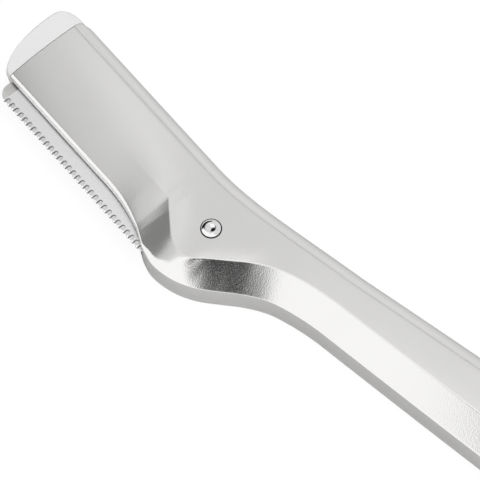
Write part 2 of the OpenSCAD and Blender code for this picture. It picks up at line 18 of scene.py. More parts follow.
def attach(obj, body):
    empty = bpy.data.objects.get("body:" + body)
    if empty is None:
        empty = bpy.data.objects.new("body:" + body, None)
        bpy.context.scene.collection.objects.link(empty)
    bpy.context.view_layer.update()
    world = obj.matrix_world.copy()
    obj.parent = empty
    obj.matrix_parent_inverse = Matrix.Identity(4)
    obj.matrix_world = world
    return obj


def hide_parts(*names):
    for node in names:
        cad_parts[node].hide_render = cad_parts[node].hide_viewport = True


bl_info = {
    "name": "Eyebrow Razor",
    "version": (1, 0, 0),
    "blender": (4, 5, 0),
    "location": "View3D > Sidebar > Razor",
    "description": "Dresses the packed razor with its finished shell, cartridge and stage",
    "category": "Object",
}

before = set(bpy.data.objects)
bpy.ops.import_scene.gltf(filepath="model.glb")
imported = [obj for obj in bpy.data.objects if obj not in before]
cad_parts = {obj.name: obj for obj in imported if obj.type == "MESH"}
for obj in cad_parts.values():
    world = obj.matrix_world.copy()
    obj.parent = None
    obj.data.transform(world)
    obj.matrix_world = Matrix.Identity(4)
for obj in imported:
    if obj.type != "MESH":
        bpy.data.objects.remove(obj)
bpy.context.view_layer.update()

# Where the neck's blade-side wall stands, as shares of the neck's length and the bulge's
# depth, then the way from the wall to the ridge as shares of the bevel's width
NECK_SHARES = (
    (-0.354, -0.757, 0.44, 1.00),
    (-0.271, -0.890, 0.54, 0.80),
    (-0.154, -0.993, 0.44, 0.83),
    (0.012, -0.990, 0.07, 0.87),
    (0.168, -0.888, -0.23, 0.97),
    (0.314, -0.704, -0.34, 0.97),
    (0.462, -0.503, -0.37, 0.97),
    (0.622, -0.354, -0.32, 0.98),
    (0.808, -0.287, -0.23, 1.00),
)
NECK_PULL_SHARE = 0.366
HANDLE_PULL_SHARE = 0.634
HUMP_PLACE_SHARE = 0.82
COVER_STEP_SHARE = 0.814
BEFORE_NECK_SHARE = 1 / 5
AFTER_NECK_SHARE = 1 / 10

# Where the blade side changes its shape: places where each change starts and ends, counted in
# neck stations from the ramp's foot, and the distance that one station stands for in the head
RAMP_PLACES = (-1.0, 0.6)
RAMP_POWER = 1.3
CROWN_OUT_PLACES = (-3.5, 0.5)
ROLL_OUT_PLACES = (6.5, 9.0)
ROLL_LEFT_SHARE = 0.2
BULGE_CROWN_SHARE = 0.5
ROUND_IN_PLACES = (0.9, 3.2)
ROUND_OUT_PLACES = (2.9, 5.0)
EDGE_IN_PLACES = (-1.8, 0.3)
BULGE_EDGE_PLACES = (1.4, 2.4)
LIP_OUT_PLACES = (-0.3, 0.5)
CRISP_PLACES = (2.6, 4.5)
STATION_S = 0.003

# The rivet's place, and shares of the small sizes that they are named after
RIVET = Vector((0.0, 0.0))
HEAD_SINK_SHARE = 2 / 5
CORE_SHARE = 0.02
SEAT_GAP_SHARE = 1.6
PIN_SHARE = 4 / 5
DIMPLE_SHARES = (0.62, 0.95)
EDGE_SHARES = (0.45, 0.55)
CAP_POWERS = (2.0, 2.6)

# Where a finish changes: painted shade at the foot of the rivet's head, past the lip and on the
# comb's rims, and the grain between its darkest and brightest tones
RIVET_SHADE_SHARES = (0.93, 1.1)
LIP_SHADE_SHARES = (1.2, 0.95)
RIM_SHADE_SHARE = 0.4
GRAIN_TONES = (0.3, 0.7)

# The way to the key lamp, and cards that only reflections see. Places are shares of the
# ceiling's height, far, front and near from the razor.
KEY_WAY = (0.5, 0.1, 0.86)
FAR = 2.5
FRONT = -1.6
NEAR = 0.015
CARD_LIFT = 0.0002
PALE, GREY = 1.16, 0.78
# Flat cards: outline, height, turn in degrees, and pairs of a place along X and a brightness
FLAT_CARDS = {
    "grey_ceiling": (((-FAR, FRONT), (FAR, FRONT), (FAR, FAR), (-FAR, FAR)), 1.0, 14,
                     ((-0.58, 0.62), (-0.505, 0.69), (-0.39, 0.74), (-0.34, 0.83),
                      (-0.29, 0.895), (-0.262, 0.87), (-0.228, 0.74), (-0.20, 0.76),
                      (-0.155, 0.81), (-0.06, 0.84))),
    "softbox": (((-FAR, FRONT), (FAR, FRONT), (FAR, -0.04), (-0.24, -0.04), (-0.27, -0.26),
                 (-FAR, -0.26)), 0.94, 0, ((0.0, PALE),)),
    "rear_band": (((-0.9375, 0.5), (0.5208, 0.5), (0.5208, 0.6042), (-0.9375, 0.6042)), 0.96,
                  0, ((0.0, 0.6),)),
}
# Upright and level cards: where each stands or starts and ends, and its brightness
WALL_CARDS = {"rear_wall": (FAR, GREY), "front_wall": (FRONT, PALE)}
FLOOR_CARDS = {"front_floor": (FRONT, -NEAR, PALE), "rear_floor": (NEAR, FAR, 0.68)}
# Round cards: size, place in shares of the size, height, stretch, radius, brightness and fade
ROUND_CARDS = {
    "lens_card": (0.93, (-0.015, -0.06), 0.93, 1.2, 0.13, 0.0, (0.03, 0.12, "LINEAR")),
    "bounce_card": (0.93, (-0.05, 0.12), 0.97, 1.0, 0.33, 1.1, (0.1, 0.31, "SMOOTHSTEP")),
    "side_card": (0.95, (-2.2, -0.1), 0.95, 1.0, 1.87, 0.26, (1.52, 1.72, "SMOOTHSTEP")),
    "dark_corner": (0.93, (-2.8, 0.9), 0.92, 1.0, 1.95, 0.01, (1.7, 1.9, "SMOOTHSTEP")),
}

Side = namedtuple("Side", "flatness level roll crown edge_w lip")


def length(name, default, description):
    """A size in metres that a user may change."""
    return FloatProperty(name=name, description=description, default=default, min=0.0,
                         precision=5, unit="LENGTH")


def angle(name, degrees, description):
    """An angle that a user may change."""
    return FloatProperty(name=name, description=description, default=radians(degrees),
                         subtype="ANGLE")


def colour(name, default, description):
    """A surface colour that a user may change."""
    return FloatVectorProperty(name=name, description=description, default=default, size=3,
                               min=0.0, max=1.0, subtype="COLOR")


def share(name, default, description):
    """A value from 0 to 1 that a user may change."""
    return FloatProperty(name=name, description=description, default=default, min=0.0,
                         max=1.0, subtype="FACTOR")


class BodySizes(bpy.types.PropertyGroup):
    """Sizes of the satin body: its head, neck and handle."""

    height: length("Height", 0.0058, "Height of the front face above the flat back")
    edge_drop: length("Edge drop", 0.0011, "How far the blade-side edge lies below the face")
    spine_round_w: length("Spine round width", 0.00175, "Width of the spine's rounding")
    spine_round_h: length("Spine round height", 0.0016, "Height of the spine's rounding")
    crease_w: length("Crease width", 0.0009, "Width of the face's dip along the spine")
    crease_h: length("Crease", 0.00003, "Depth of the face's dip along the spine")
    edge_round: length("Edge round", 0.0003, "Rounding on top of the body's side")
    head_round: length("Head round", 0.00052, "Rounding on top of the head's side")
    bulge_round: length("Bulge round", 0.0009, "Rounding on top of the neck bulge's side")
    crisp_round: length("Crisp round", 0.00006, "Rounding on top of the handle's side")
    ridge_roll_w: length("Ridge roll width", 0.005, "Width of the face's roll to the ridge")
    ridge_roll_h: length("Ridge roll", 0.0001, "Depth of the face's roll at the ridge")
    lip_w: length("Lip", 0.00003, "How far the head's lip stands out over the guard")
    lip_h: length("Lip height", 0.00025, "How far the lip stands clear of the slot's top")
    under_lip_w: length("Under the lip", 0.0005, "Width of the slope under the head's lip")
    back_round: length("Back round", 0.0003, "Rounding of the edges of the flat back")
    head_l: length("Head length", 0.0372, "From the rivet to the end of the shell")
    head_angle: angle("Head angle", 11.2, "Angle between the head and the handle")
    head_edge_w: length("Head edge", 0.00615, "From the rivet line to the blade-side edge")
    head_spine_w: length("Head spine", 0.0075, "From the rivet line to the spine at the tip")
    neck_spine_w: length("Neck spine", 0.00705, "From the rivet line to the spine at the neck")
    tip_corner_r: length("Tip corner", 0.0022, "Radius of the spine's corner at the tip")
    ramp_foot_s: length("Ramp foot", 0.0075, "From the rivet to the foot of the ramp")
    ramp_top_w: length("Ramp top", 0.00135, "From the rivet line to the top of the ramp")
    sweep_start_s: length("Sweep start", 0.0155, "From the rivet to where the edge sweeps out")
    sweep_w: length("Sweep", 0.00115, "How far the head's edge sweeps out at the ramp")
    crown_w: length("Crown", 0.0033, "From the rivet line to where the head's crown starts")
    handle_l: length("Handle length", 0.105, "From the rivet to the butt")
    neck_l: length("Neck length", 0.0205, "From the rivet to the end of the neck")
    bulge_d: length("Bulge depth", 0.00895, "Depth of the neck bulge below the rivet")
    handle_offset: length("Handle offset", 0.00255, "Offset of the handle's centre line")
    neck_w: length("Neck width", 0.0099, "Width of the handle at the end of the neck")
    swell_w: length("Swell width", 0.0121, "Width of the handle at its widest")
    swell_x: length("Swell place", 0.072, "From the rivet to the widest place")
    butt_w: length("Butt width", 0.0112, "Width of the handle at the butt")
    bevel_w: length("Bevel width", 0.00435, "Width of the bevel along the blade side")


class CoverSizes(bpy.types.PropertyGroup):
    """Sizes of the back cover, the hollow behind it and the rivet."""

    thickness: length("Thickness", 0.0018, "Thickness of the back cover")
    rim_w: length("Rim width", 0.0011, "Width of the shell's rim round the back cover")
    gap: length("Gap", 0.00005, "Gap between the back cover and the rim")
    edge_cut: length("Edge cut", 0.00012, "Broken edge round the back cover")
    rib_w: length("Rib width", 0.001, "Width of the rib that guides the cartridge")
    rib_spine_w: length("Rib place", 0.0034, "From the rivet line to the rib's spine side")
    rib_start_s: length("Rib start", 0.009, "From the rivet to the start of the rib")
    hollow_wall: length("Hollow wall", 0.0017, "Wall between the hollow and the outside")
    hollow_h: length("Hollow height", 0.0021, "Height of the hollow in the handle")
    pin_d: length("Pin", 0.002, "Diameter of the locating pins")
    boss_d: length("Boss", 0.0046, "Diameter of the bosses round the pins")
    pin_x: length("Pin place", 0.034, "From the rivet to the first pin")
    pin_pitch: length("Pin pitch", 0.056, "Distance between the pins")
    spring_w: length("Spring width", 0.003, "Width of the detent spring")
    spring_t: length("Spring thickness", 0.0002, "Thickness of the detent spring")
    spring_l: length("Spring length", 0.0124, "From the rivet to the spring's end")
    hump_l: length("Hump length", 0.0024, "Length of the spring's hump")
    hump_h: length("Hump height", 0.00038, "Height of the spring's hump")
    rivet_head_d: length("Rivet head", 0.00286, "Diameter of the rivet's polished head")
    rivet_head_h: length("Rivet height", 0.0005, "Height of the rivet's head")
    rivet_flange_d: length("Flange", 0.0037, "Diameter of the rivet cap's flange")
    rivet_flange_t: length("Flange thickness", 0.00065, "Thickness of the flange")
    rivet_shank_d: length("Shank", 0.0018, "Diameter of the rivet's shank")
    rivet_sleeve_wall: length("Sleeve wall", 0.0004, "Wall of the rivet cap's sleeve")
    fit_gap: length("Fit gap", 0.00005, "Gap round the rivet in its holes")


class CartridgeSizes(bpy.types.PropertyGroup):
    """Sizes of the slide-in cartridge: carrier, end cap, blade and comb guard."""

    slot_h: length("Slot height", 0.0015, "Height of the cartridge slot")
    slot_spine_w: length("Slot wall", 0.0055, "From the rivet line to the slot's inner wall")
    slot_end_s: length("Slot end", 0.0043, "From the rivet to the slot's end wall")
    run_gap: length("Running gap", 0.00006, "Gap round the cartridge in its slot")
    tongue_t: length("Tongue", 0.0009, "Thickness of the carrier's tongue")
    cap_l: length("Cap reach", 0.0044, "Reach of the end cap beyond the shell")
    cap_edge_r: length("Cap round", 0.0021, "Rounding of the end cap's outer edges")
    cap_peak_w: length("Cap peak", 0.0041, "From the rivet line to the cap's furthest point")
    blade_t: length("Blade thickness", 0.00015, "Thickness of the blade")
    blade_edge_w: length("Cutting edge", 0.00872, "From the rivet line to the cutting edge")
    blade_w: length("Blade width", 0.0066, "Width of the blade")
    ground_w: length("Ground edge", 0.0009, "Width of the ground edge")
    blade_end_gap: length("Blade gap", 0.00025, "Gap between the blade and the end wall")
    blade_corner_r: length("Blade corner", 0.0018, "Radius of the blade's corner at the tip")
    stud_d: length("Stud", 0.0015, "Diameter of the studs that hold the blade")
    stud_pitch: length("Stud pitch", 0.011, "Distance between the studs")
    slot_count: IntProperty(name="Comb slots", description="Number of slots in the comb",
                            default=31, min=1)
    guard_pitch: length("Comb pitch", 0.001, "Distance between two comb slots")
    comb_depth: length("Comb depth", 0.00085, "Depth of a comb slot")
    comb_w: length("Comb width", 0.00062, "Width of a comb slot")
    foil_t: length("Foil", 0.00015, "Thickness of the guard's foil")
    foil_gap: length("Foil gap", 0.000025, "Gap between the foil and the blade")
    guard_top_w: length("Guard width", 0.0044, "Reach of the guard's upper leaf")


class Finish(bpy.types.PropertyGroup):
    """Colours and surface values of the finishes."""

    satin: colour("Satin metal", (0.80, 0.795, 0.785), "Bead-blasted shell and back cover")
    satin_rough: share("Satin roughness", 0.09, "Mean roughness of the satin metal")
    satin_grain: length("Grain size", 0.00017, "Size of the bead-blasted grain")
    polish: colour("Polished steel", (0.82, 0.82, 0.82), "Rivet head and flange")
    plastic: colour("White plastic", (0.93, 0.93, 0.93), "Carrier and its end cap")
    steel: colour("Blade steel", (0.72, 0.71, 0.70), "Blade")
    foil: colour("Guard foil", (0.96, 0.955, 0.97), "Comb guard")
    ground: colour("Ground edge", (0.8, 0.8, 0.79), "Bright ground edge of the blade")
    # Painted shade: dark lines round the comb's slots, where their cut walls lie in shade
    etched: colour("Etched rim", (0.3, 0.3, 0.31), "Rims of the comb's slots")
    # Painted shade: a near-black colour laid where the slot under the lip, the sweep of the lip
    # and the rivet's seat and foot lie in shade
    raw: colour("Raw metal", (0.05, 0.05, 0.05), "Bare inside of the slot and the seat")
    spring: colour("Spring steel", (0.55, 0.55, 0.56), "Spring and pins inside the handle")


class StageSettings(bpy.types.PropertyGroup):
    """Camera, lamps and cards round the razor."""

    azimuth: angle("Azimuth", 38.7, "Camera direction round the razor")
    elevation: angle("Elevation", 65.0, "Camera height above the horizon")
    distance: length("Distance", 0.2718, "From the camera to the point it looks at")
    lens: FloatProperty(name="Lens", description="Focal length on a 36 mm sensor",
                        default=150.0, subtype="DISTANCE_CAMERA")
    aim: FloatVectorProperty(name="Aim", description="The point that the camera looks at",
                             default=(0.00414, 0.001117, 0.0058), size=3, precision=5,
                             subtype="TRANSLATION", unit="LENGTH")
    ambient: share("Ambient", 0.6, "Strength of the room light on matt surfaces")
    floor_glow: share("Floor glow", 0.8, "How white the floor shows through its shadows")
    ceiling: length("Ceiling", 1.5, "Height of the softbox and of the grey ceiling")
    key_power: FloatProperty(name="Key lamp", description="Power of the soft key lamp",
                             default=8.9, min=0.0, unit="POWER")


def mix(a, b, t):
    """The value a share t of the way from a to b."""
    return a + (b - a) * t


def smooth(t):
    """A share from 0 to 1 that starts and ends gently."""
    t = max(0.0, min(1.0, t))
    return t * t * (3 - 2 * t)


def smooth_between(ends, t):
    """A share that rises gently from 0 to 1 between two ends."""
    return smooth((t - ends[0]) / (ends[1] - ends[0]))


def shares(steps):
    """Even shares from 0 to 1."""
    return [k / steps for k in range(steps + 1)]


def at_z(place, z):
    """A place in plan lifted to a height."""
    return Vector((place.x, place.y, z))


def left_of(way):
    """The unit way to the left of a way in plan."""
    return Vector((-way.y, way.x)).normalized()


def through(a, b, c, d, t):
    """A smooth curve from b to c through its neighbours a and d."""
    return (2 * b + (c - a) * t + (2 * a - 5 * b + 4 * c - d) * t * t
            + (3 * b - a - 3 * c + d) * t ** 3) / 2


def inset_line(line, distance):
    """A line in plan moved to its left by a distance."""
    ends = len(line) - 1
    return [p + left_of(line[min(ends, i + 1)] - line[max(0, i - 1)]) * distance
            for i, p in enumerate(line)]


class RazorForm:
    """The razor's form: places in plan, the body's cross-sections, and what they hold."""

    round_end = radians(72)
    butt_end = radians(88)
    crown_power = 2.0
    back_steps = 4
    round_steps = 18
    dip_steps = 6
    face_steps = 14
    bevel_steps = 18
    edge_steps = 10
    neck_steps = 12
    tip_steps = 12
    straight_steps = 16
    sweep_steps = 20
    handle_steps = 40
    butt_steps = 24
    line_softness = 0.00006
    edge_fall = 1.2
    rim_start = 3

    def __init__(self, sizes, cover, cartridge):
        self.sizes = sizes
        self.cover = cover
        self.cartridge = cartridge
        self.slot_top = cover.thickness + cartridge.slot_h
        self.blade_z = cover.thickness + cartridge.run_gap + cartridge.tongue_t
        self.blade_s = cartridge.slot_end_s + cartridge.blade_end_gap
        self.tongue_w = -sizes.head_edge_w + cartridge.comb_depth / 3
        self.wall_top = sizes.height - sizes.spine_round_h
        self.butt_r = sizes.butt_w / 2
        self.butt_x = sizes.handle_l - self.butt_r
        self.corner_s = sizes.head_l - sizes.tip_corner_r * sin(self.round_end)
        self.stations = self.neck_stations()

    def in_head(self, s, w):
        """The place in plan that is s along the head and w across it."""
        a = self.sizes.head_angle
        return Vector((w * sin(a) - s * cos(a), s * sin(a) + w * cos(a)))

    def spine_at(self, s):
        """How far the spine is from the rivet line."""
        return mix(self.sizes.neck_spine_w, self.sizes.head_spine_w, s / self.sizes.head_l)

    def edge_at(self, s):
        """Where the head's blade-side edge is, with its sweep before the ramp."""
        z = self.sizes
        swept = max(0.0, z.sweep_start_s - s) / (z.sweep_start_s - z.ramp_foot_s)
        return -z.head_edge_w - z.sweep_w * swept ** 2

    def handle_w(self, x):
        """Width of the handle."""
        z = self.sizes
        if x < z.swell_x:
            share_done = (x - z.neck_l) / (z.swell_x - z.neck_l)
            return mix(z.neck_w, z.swell_w, sin(pi / 2 * share_done))
        share_done = (x - z.swell_x) / (self.butt_x - z.swell_x)
        return mix(z.swell_w, z.butt_w, 1 - cos(pi / 2 * share_done))

    def round_z(self, inset):
        """Height of the spine's rounding at an inset from the spine."""
        share_in = inset / self.sizes.spine_round_w * (1 - cos(self.round_end))
        turn = acos(1 - share_in)
        grown = sin(turn) / sin(self.round_end)
        return self.wall_top + (self.sizes.spine_round_h - self.sizes.crease_h) * grown

    def top_z(self, t, total, ridge_t, side):
        """Height of the front at t across it from the crease: a crowned head, flatness 0,
        or a flat face that rolls over a ridge to a bevel, flatness 1."""
        z = self.sizes
        start = z.neck_spine_w - z.spine_round_w - z.crown_w
        roll_w = mix(z.ridge_roll_w / 3, z.ridge_roll_w, side.roll)
        crowned = (max(0.0, t - start) / (total - start)) ** self.crown_power
        if t <= ridge_t:
            roll = max(0.0, 1 + (t - ridge_t) / roll_w) ** 2 * z.ridge_roll_h
            dip = max(0.0, 1 - t / z.crease_w) ** 2 * z.crease_h
            return (z.height - z.edge_drop * crowned * (1 - side.level) - roll * side.roll
                    - dip)
        at_ridge = (max(0.0, ridge_t - start) / (total - start)) ** self.crown_power
        v = (t - ridge_t) / (total - ridge_t)
        fallen = mix((crowned - at_ridge) / (1 - at_ridge), mix(v, v * v, side.crown),
                     side.flatness)
        roll = z.ridge_roll_h * side.roll * (1 - v)
        return z.height - z.edge_drop * mix(at_ridge * (1 - side.level), 1, fallen) - roll

    def section(self, spine, inward, cut, ridge, wall, side):
        """One cross-section, from the back's spine edge over the face to the blade edge."""
        z = self.sizes
        turns = [pi / 2 * k for k in shares(self.back_steps)]
        rows = [at_z(spine + inward * (cut + z.back_round * (1 - sin(turn))),
                     z.back_round * (1 - cos(turn))) for turn in turns]
        for k in shares(self.round_steps):
            turn = self.round_end * k
            grown = (1 - cos(turn)) / (1 - cos(self.round_end))
            inset = mix(cut, z.spine_round_w, grown)
            rows.append(at_z(spine + inward * inset, self.round_z(inset)))
        crease = spine + inward * z.spine_round_w
        way = (ridge - wall).normalized()
        face_l = (ridge - crease).length
        bevel_l = (wall - ridge).length
        total = face_l + bevel_l
        soft = self.line_softness
        clear = 3 * soft
        dips = [z.crease_w * k for k in shares(self.dip_steps)[1:]]
        for t in dips + [mix(z.crease_w, face_l - clear, k)
                         for k in shares(self.face_steps)[1:]] + [face_l - soft]:
            rows.append(at_z(mix(crease, ridge, t / face_l),
                             self.top_z(t, total, face_l, side)))
        end = 1 - side.edge_w / bevel_l
        ridge_row = len(rows) + 1
        for k in [0.0] + shares(self.bevel_steps):
            u = mix((soft if len(rows) < ridge_row else clear) / bevel_l, end, k)
            rows.append(at_z(mix(ridge, wall, u),
                             self.top_z(face_l + bevel_l * u, total, face_l, side)))
        start = rows[-1]
        lip = at_z(wall - way * z.lip_w * side.lip, self.slot_top + z.lip_h * side.lip)
        drop = (rows[-2].z - start.z) / max(1e-6, (rows[-2] - start).xy.length)
        reach = (lip - start).xy.length
        peak = at_z(lip, start.z - min(drop * reach, (start.z - lip.z) / 2))
        stop = at_z(lip, start.z - side.edge_w * self.edge_fall)
        for k in shares(self.edge_steps)[1:]:
            rows.append(start * (1 - k) ** 2 + peak * 2 * k * (1 - k) + stop * k * k)
        rows.append(lip)
        rows.append(at_z(wall + way * z.under_lip_w * side.lip, self.slot_top - 1e-6))
        rows += [at_z(wall + way * z.back_round * (1 - sin(turn)),
                      z.back_round * (1 - cos(turn))) for turn in reversed(turns)]
        return rows

    def side_at(self, place):
        """The blade side's shape at a place counted in neck stations, below 0 in the head."""
        z = self.sizes
        ramp = max(0.0, min(1.0, (place - RAMP_PLACES[0]) / (RAMP_PLACES[1] - RAMP_PLACES[0])))
        near = smooth_between(EDGE_IN_PLACES, place)
        past = smooth_between(ROUND_OUT_PLACES, place)
        crown = BULGE_CROWN_SHARE * smooth_between(ROUND_IN_PLACES, place) * (1 - past)
        edge_w = mix(mix(z.head_round, z.edge_round, near), z.bulge_round,
                     smooth_between(BULGE_EDGE_PLACES, place))
        edge_w = mix(edge_w, z.crisp_round, smooth_between(CRISP_PLACES, place))
        flatness = ramp ** RAMP_POWER
        roll = flatness * mix(1, ROLL_LEFT_SHARE, smooth_between(ROLL_OUT_PLACES, place))
        return Side(flatness, smooth_between(CROWN_OUT_PLACES, place), roll, crown, edge_w,
                    1 - smooth_between(LIP_OUT_PLACES, place))

    def head_section(self, s):
        """The head's cross-section."""
        z = self.sizes
        past = max(0.0, s - self.corner_s)
        cut = z.tip_corner_r - sqrt(z.tip_corner_r ** 2 - past ** 2)
        return self.section(self.in_head(s, self.spine_at(s)), -self.in_head(0, 1), cut,
                            self.in_head(s, -z.ramp_top_w), self.in_head(s, self.edge_at(s)),
                            self.side_at((z.ramp_foot_s - s) / STATION_S))

    def handle_section(self, x):
        """The handle's cross-section."""
        z = self.sizes
        half = self.handle_w(x) / 2
        wall = Vector((x, z.handle_offset - half))
        return self.section(Vector((x, z.handle_offset + half)), Vector((0, -1)), 0.0,
                            wall + Vector((0, z.bevel_w)), wall, self.side_at(inf))

    def neck_stations(self):
        """Pairs of wall and ridge that the neck passes through, with one more at each end."""
        z = self.sizes
        foot_ridge = self.in_head(z.ramp_foot_s, -z.ramp_top_w)
        pairs = [(self.in_head(z.ramp_foot_s, self.edge_at(z.ramp_foot_s)), foot_ridge)]
        for wall_x, wall_y, ridge_x, ridge_y in NECK_SHARES:
            wall = Vector((z.neck_l * wall_x, z.bulge_d * wall_y))
            pairs.append((wall, wall + Vector((ridge_x, ridge_y)) * z.bevel_w))
        end_wall = Vector((z.neck_l, z.handle_offset - z.neck_w / 2))
        pairs.append((end_wall, end_wall + Vector((0, z.bevel_w))))
        before_s = mix(z.ramp_foot_s, z.sweep_start_s, BEFORE_NECK_SHARE)
        before = (self.in_head(before_s, self.edge_at(before_s)), foot_ridge * 2 - pairs[1][1])
        after_x = mix(z.neck_l, z.swell_x, AFTER_NECK_SHARE)
        after_wall = Vector((after_x, z.handle_offset - self.handle_w(after_x) / 2))
        return [before, *pairs, (after_wall, after_wall + Vector((0, z.bevel_w)))]

    def neck_section(self, place):
        """The neck's cross-section at a place counted in stations."""
        z = self.sizes
        count = len(self.stations) - 3
        k = min(int(place), count - 1)
        near = self.stations[k:k + 4]
        wall = through(*(pair[0] for pair in near), place - k)
        ridge = through(*(pair[1] for pair in near), place - k)
        start = self.in_head(z.ramp_foot_s, self.spine_at(z.ramp_foot_s))
        tip = self.in_head(z.head_l, z.head_spine_w)
        end = Vector((z.neck_l, z.handle_offset + z.neck_w / 2))
        pull = start + (start - tip).normalized() * z.neck_l * NECK_PULL_SHARE
        handle_pull = end - Vector((z.neck_l * HANDLE_PULL_SHARE, 0))
        u = place / count
        spine = (start * (1 - u) ** 3 + pull * 3 * u * (1 - u) ** 2
                 + handle_pull * 3 * u * u * (1 - u) + end * u ** 3)
        way = ((pull - start) * (1 - u) ** 2 + (handle_pull - pull) * 2 * u * (1 - u)
               + (end - handle_pull) * u * u)
        return self.section(spine, -left_of(way), 0.0, ridge, wall, self.side_at(place))

    def butt_section(self, turn):
        """The butt's cross-section: the lines of both sides run round to meet at the end."""
        z = self.sizes
        rows = self.handle_section(self.butt_x)
        centre = z.handle_offset

        def inset(p):
            return self.butt_r - abs(p.y - centre)

        spine_side = [p for p in rows if p.y > centre]
        blade_side = [p for p in rows if p.y <= centre]
        made = []
        for own_side, other_side in ((spine_side, blade_side[::-1]),
                                     (blade_side, spine_side[::-1])):
            for i, own in enumerate(own_side):
                place = i / (len(own_side) - 1) * (len(other_side) - 1)
                low = min(int(place), len(other_side) - 2)
                other = mix(other_side[low], other_side[low + 1], place - low)
                gap = mix(inset(own), inset(other), sin(turn) / 2)
                side = copysign(1, own.y - centre)
                made.append(Vector((self.butt_x + (self.butt_r - gap) * sin(turn),
                                    centre + side * (self.butt_r - gap) * cos(turn),
                                    mix(own.z, other.z, sin(turn) / 2))))
        return made

    def sections(self):
        """The cross-sections of the head from its tip, and the ones from there to the butt."""
        z = self.sizes
        corner = [self.corner_s + z.tip_corner_r * sin(self.round_end * (1 - k))
                  for k in shares(self.tip_steps)]
        straight = [mix(self.corner_s, z.sweep_start_s, k)
                    for k in shares(self.straight_steps)[1:]]
        sweep = [mix(z.sweep_start_s, z.ramp_foot_s, k) for k in shares(self.sweep_steps)[1:-1]]
        head = [self.head_section(s) for s in corner + straight + sweep]
        count = len(self.stations) - 3
        past = [self.neck_section(k * count) for k in shares(count * self.neck_steps)[:-1]]
        past += [self.handle_section(mix(z.neck_l, self.butt_x, k))
                 for k in shares(self.handle_steps)]
        past += [self.butt_section(self.butt_end * k) for k in shares(self.butt_steps)[1:]]
        return head, past

    def neck_lines(self):
        """The spine's and the blade side's lines in plan, from the ramp's foot to the butt."""
        rows = self.sections()[1]
        low = self.back_steps
        return ([Vector(row[low].xy) for row in rows],
                [Vector(row[-low - 2].xy) for row in rows])

    def rim_line(self, gap, tip_s, step_s):
        """The back cover's rim, from the tip along the spine round to the ramp's foot."""
        z = self.sizes
        spine, wall = self.neck_lines()
        slot_w = self.cartridge.slot_spine_w - gap
        inset = self.cover.rim_w + gap
        inner = inset_line(spine[self.neck_steps:], -inset)
        outer = inset_line(wall[self.rim_start * self.neck_steps:], inset)
        return [self.in_head(tip_s, slot_w), self.in_head(z.ramp_foot_s, slot_w), *inner,
                *outer[::-1], self.in_head(step_s, -z.bulge_d * COVER_STEP_SHARE)]

    def hollow_outline(self):
        """The outline of the hollow in the handle."""
        spine, wall = self.neck_lines()
        sides = [[p for p in inset_line(line, side * self.cover.hollow_wall)
                  if self.sizes.neck_l / 2 < p.x < self.butt_x]
                 for line, side in ((spine, -1), (wall, 1))]
        return sides[0] + sides[1][::-1]

    def pin_places(self):
        """Where the locating pins stand."""
        return [Vector((self.cover.pin_x + k * self.cover.pin_pitch, self.sizes.handle_offset))
                for k in range(2)]

    def stud_places(self):
        """Where the studs stand that hold the blade."""
        cartridge = self.cartridge
        w = self.tongue_w + cartridge.stud_d + cartridge.foil_t
        middle = (self.sizes.head_l + cartridge.cap_l) / 2
        return [self.in_head(middle - k * cartridge.stud_pitch, w) for k in (-1, 0, 1)]

    def stud_holes(self):
        """Cutters for the holes round the studs."""
        return discs("stud_hole", self.stud_places(), self.cartridge.stud_d, 0.0,
                     self.sizes.height, self.cartridge.foil_gap, 32)

    def slab(self, name, along, across, heights):
        """A block in the head between two places along it, across it and up from the back."""
        (s0, s1), (w0, w1) = along, across
        corners = ((s0, w0), (s1, w0), (s1, w1), (s0, w1))
        return prism(name, [self.in_head(*place) for place in corners], *heights)

    def extrusion(self, name, profile, along):
        """A profile of places across the head and up from the back, drawn out along it."""
        return loft(name, [[at_z(self.in_head(s, w), z) for w, z in profile] for s in along])


def placed(name, mesh):
    """An object in the scene that shows a mesh."""
    piece = bpy.data.objects.new(name, mesh)
    bpy.context.scene.collection.objects.link(piece)
    return piece


def new_piece(name, vertices, faces):
    """A mesh object from points and faces, with its faces turned outward."""
    mesh = bpy.data.meshes.new(name)
    mesh.from_pydata([tuple(v) for v in vertices], [], faces)
    work = bmesh.new()
    work.from_mesh(mesh)
    bmesh.ops.recalc_face_normals(work, faces=work.faces)
    work.to_mesh(mesh)
    work.free()
    return placed(name, mesh)


def loft(name, sections):
    """A closed skin over cross-sections that have the same number of points."""
    n = len(sections[0])
    last = (len(sections) - 1) * n
    faces = []
    for start in range(0, last, n):
        for i in range(n):
            j = (i + 1) % n
            faces.append((start + i, start + n + i, start + n + j, start + j))
    faces.append(tuple(range(n)))
    faces.append(tuple(reversed(range(last, last + n))))
    return new_piece(name, [p for row in sections for p in row], faces)


def prism(name, outline, bottom, top):
    """A plate with an outline in plan between two heights."""
    return loft(name, [[at_z(p, z) for p in outline] for z in (bottom, top)])


def circle(radius, steps=64, centre=RIVET):
    """Points in plan round a circle."""
    return [centre + Vector((cos(turn), sin(turn))) * radius
            for turn in (tau * k / steps for k in range(steps))]


def discs(name, centres, diameter, bottom, top, gap=0.0, steps=64):
    """Round plates or bore cutters between two heights, with a gap all round each."""
    return [prism(name, circle(diameter / 2 + gap, steps, p), bottom, top) for p in centres]


def turned(name, profile, steps=96):
    """A piece turned round the rivet's axis from a profile of radii and heights."""
    return loft(name, [[at_z(p, z) for p in circle(radius, steps)] for radius, z in profile])


def joined(name, pieces):
    """One piece from several that don't touch."""
    work = bmesh.new()
    for piece in pieces:
        work.from_mesh(piece.data)
        bpy.data.objects.remove(piece)
    mesh = bpy.data.meshes.new(name)
    work.to_mesh(mesh)
    work.free()
    return placed(name, mesh)


def apply_changes(piece):
    """Makes a piece's modifiers part of its mesh."""
    bpy.context.view_layer.update()
    graph = bpy.context.evaluated_depsgraph_get()
    mesh = bpy.data.meshes.new_from_object(piece.evaluated_get(graph))
    piece.modifiers.clear()
    piece.data = mesh


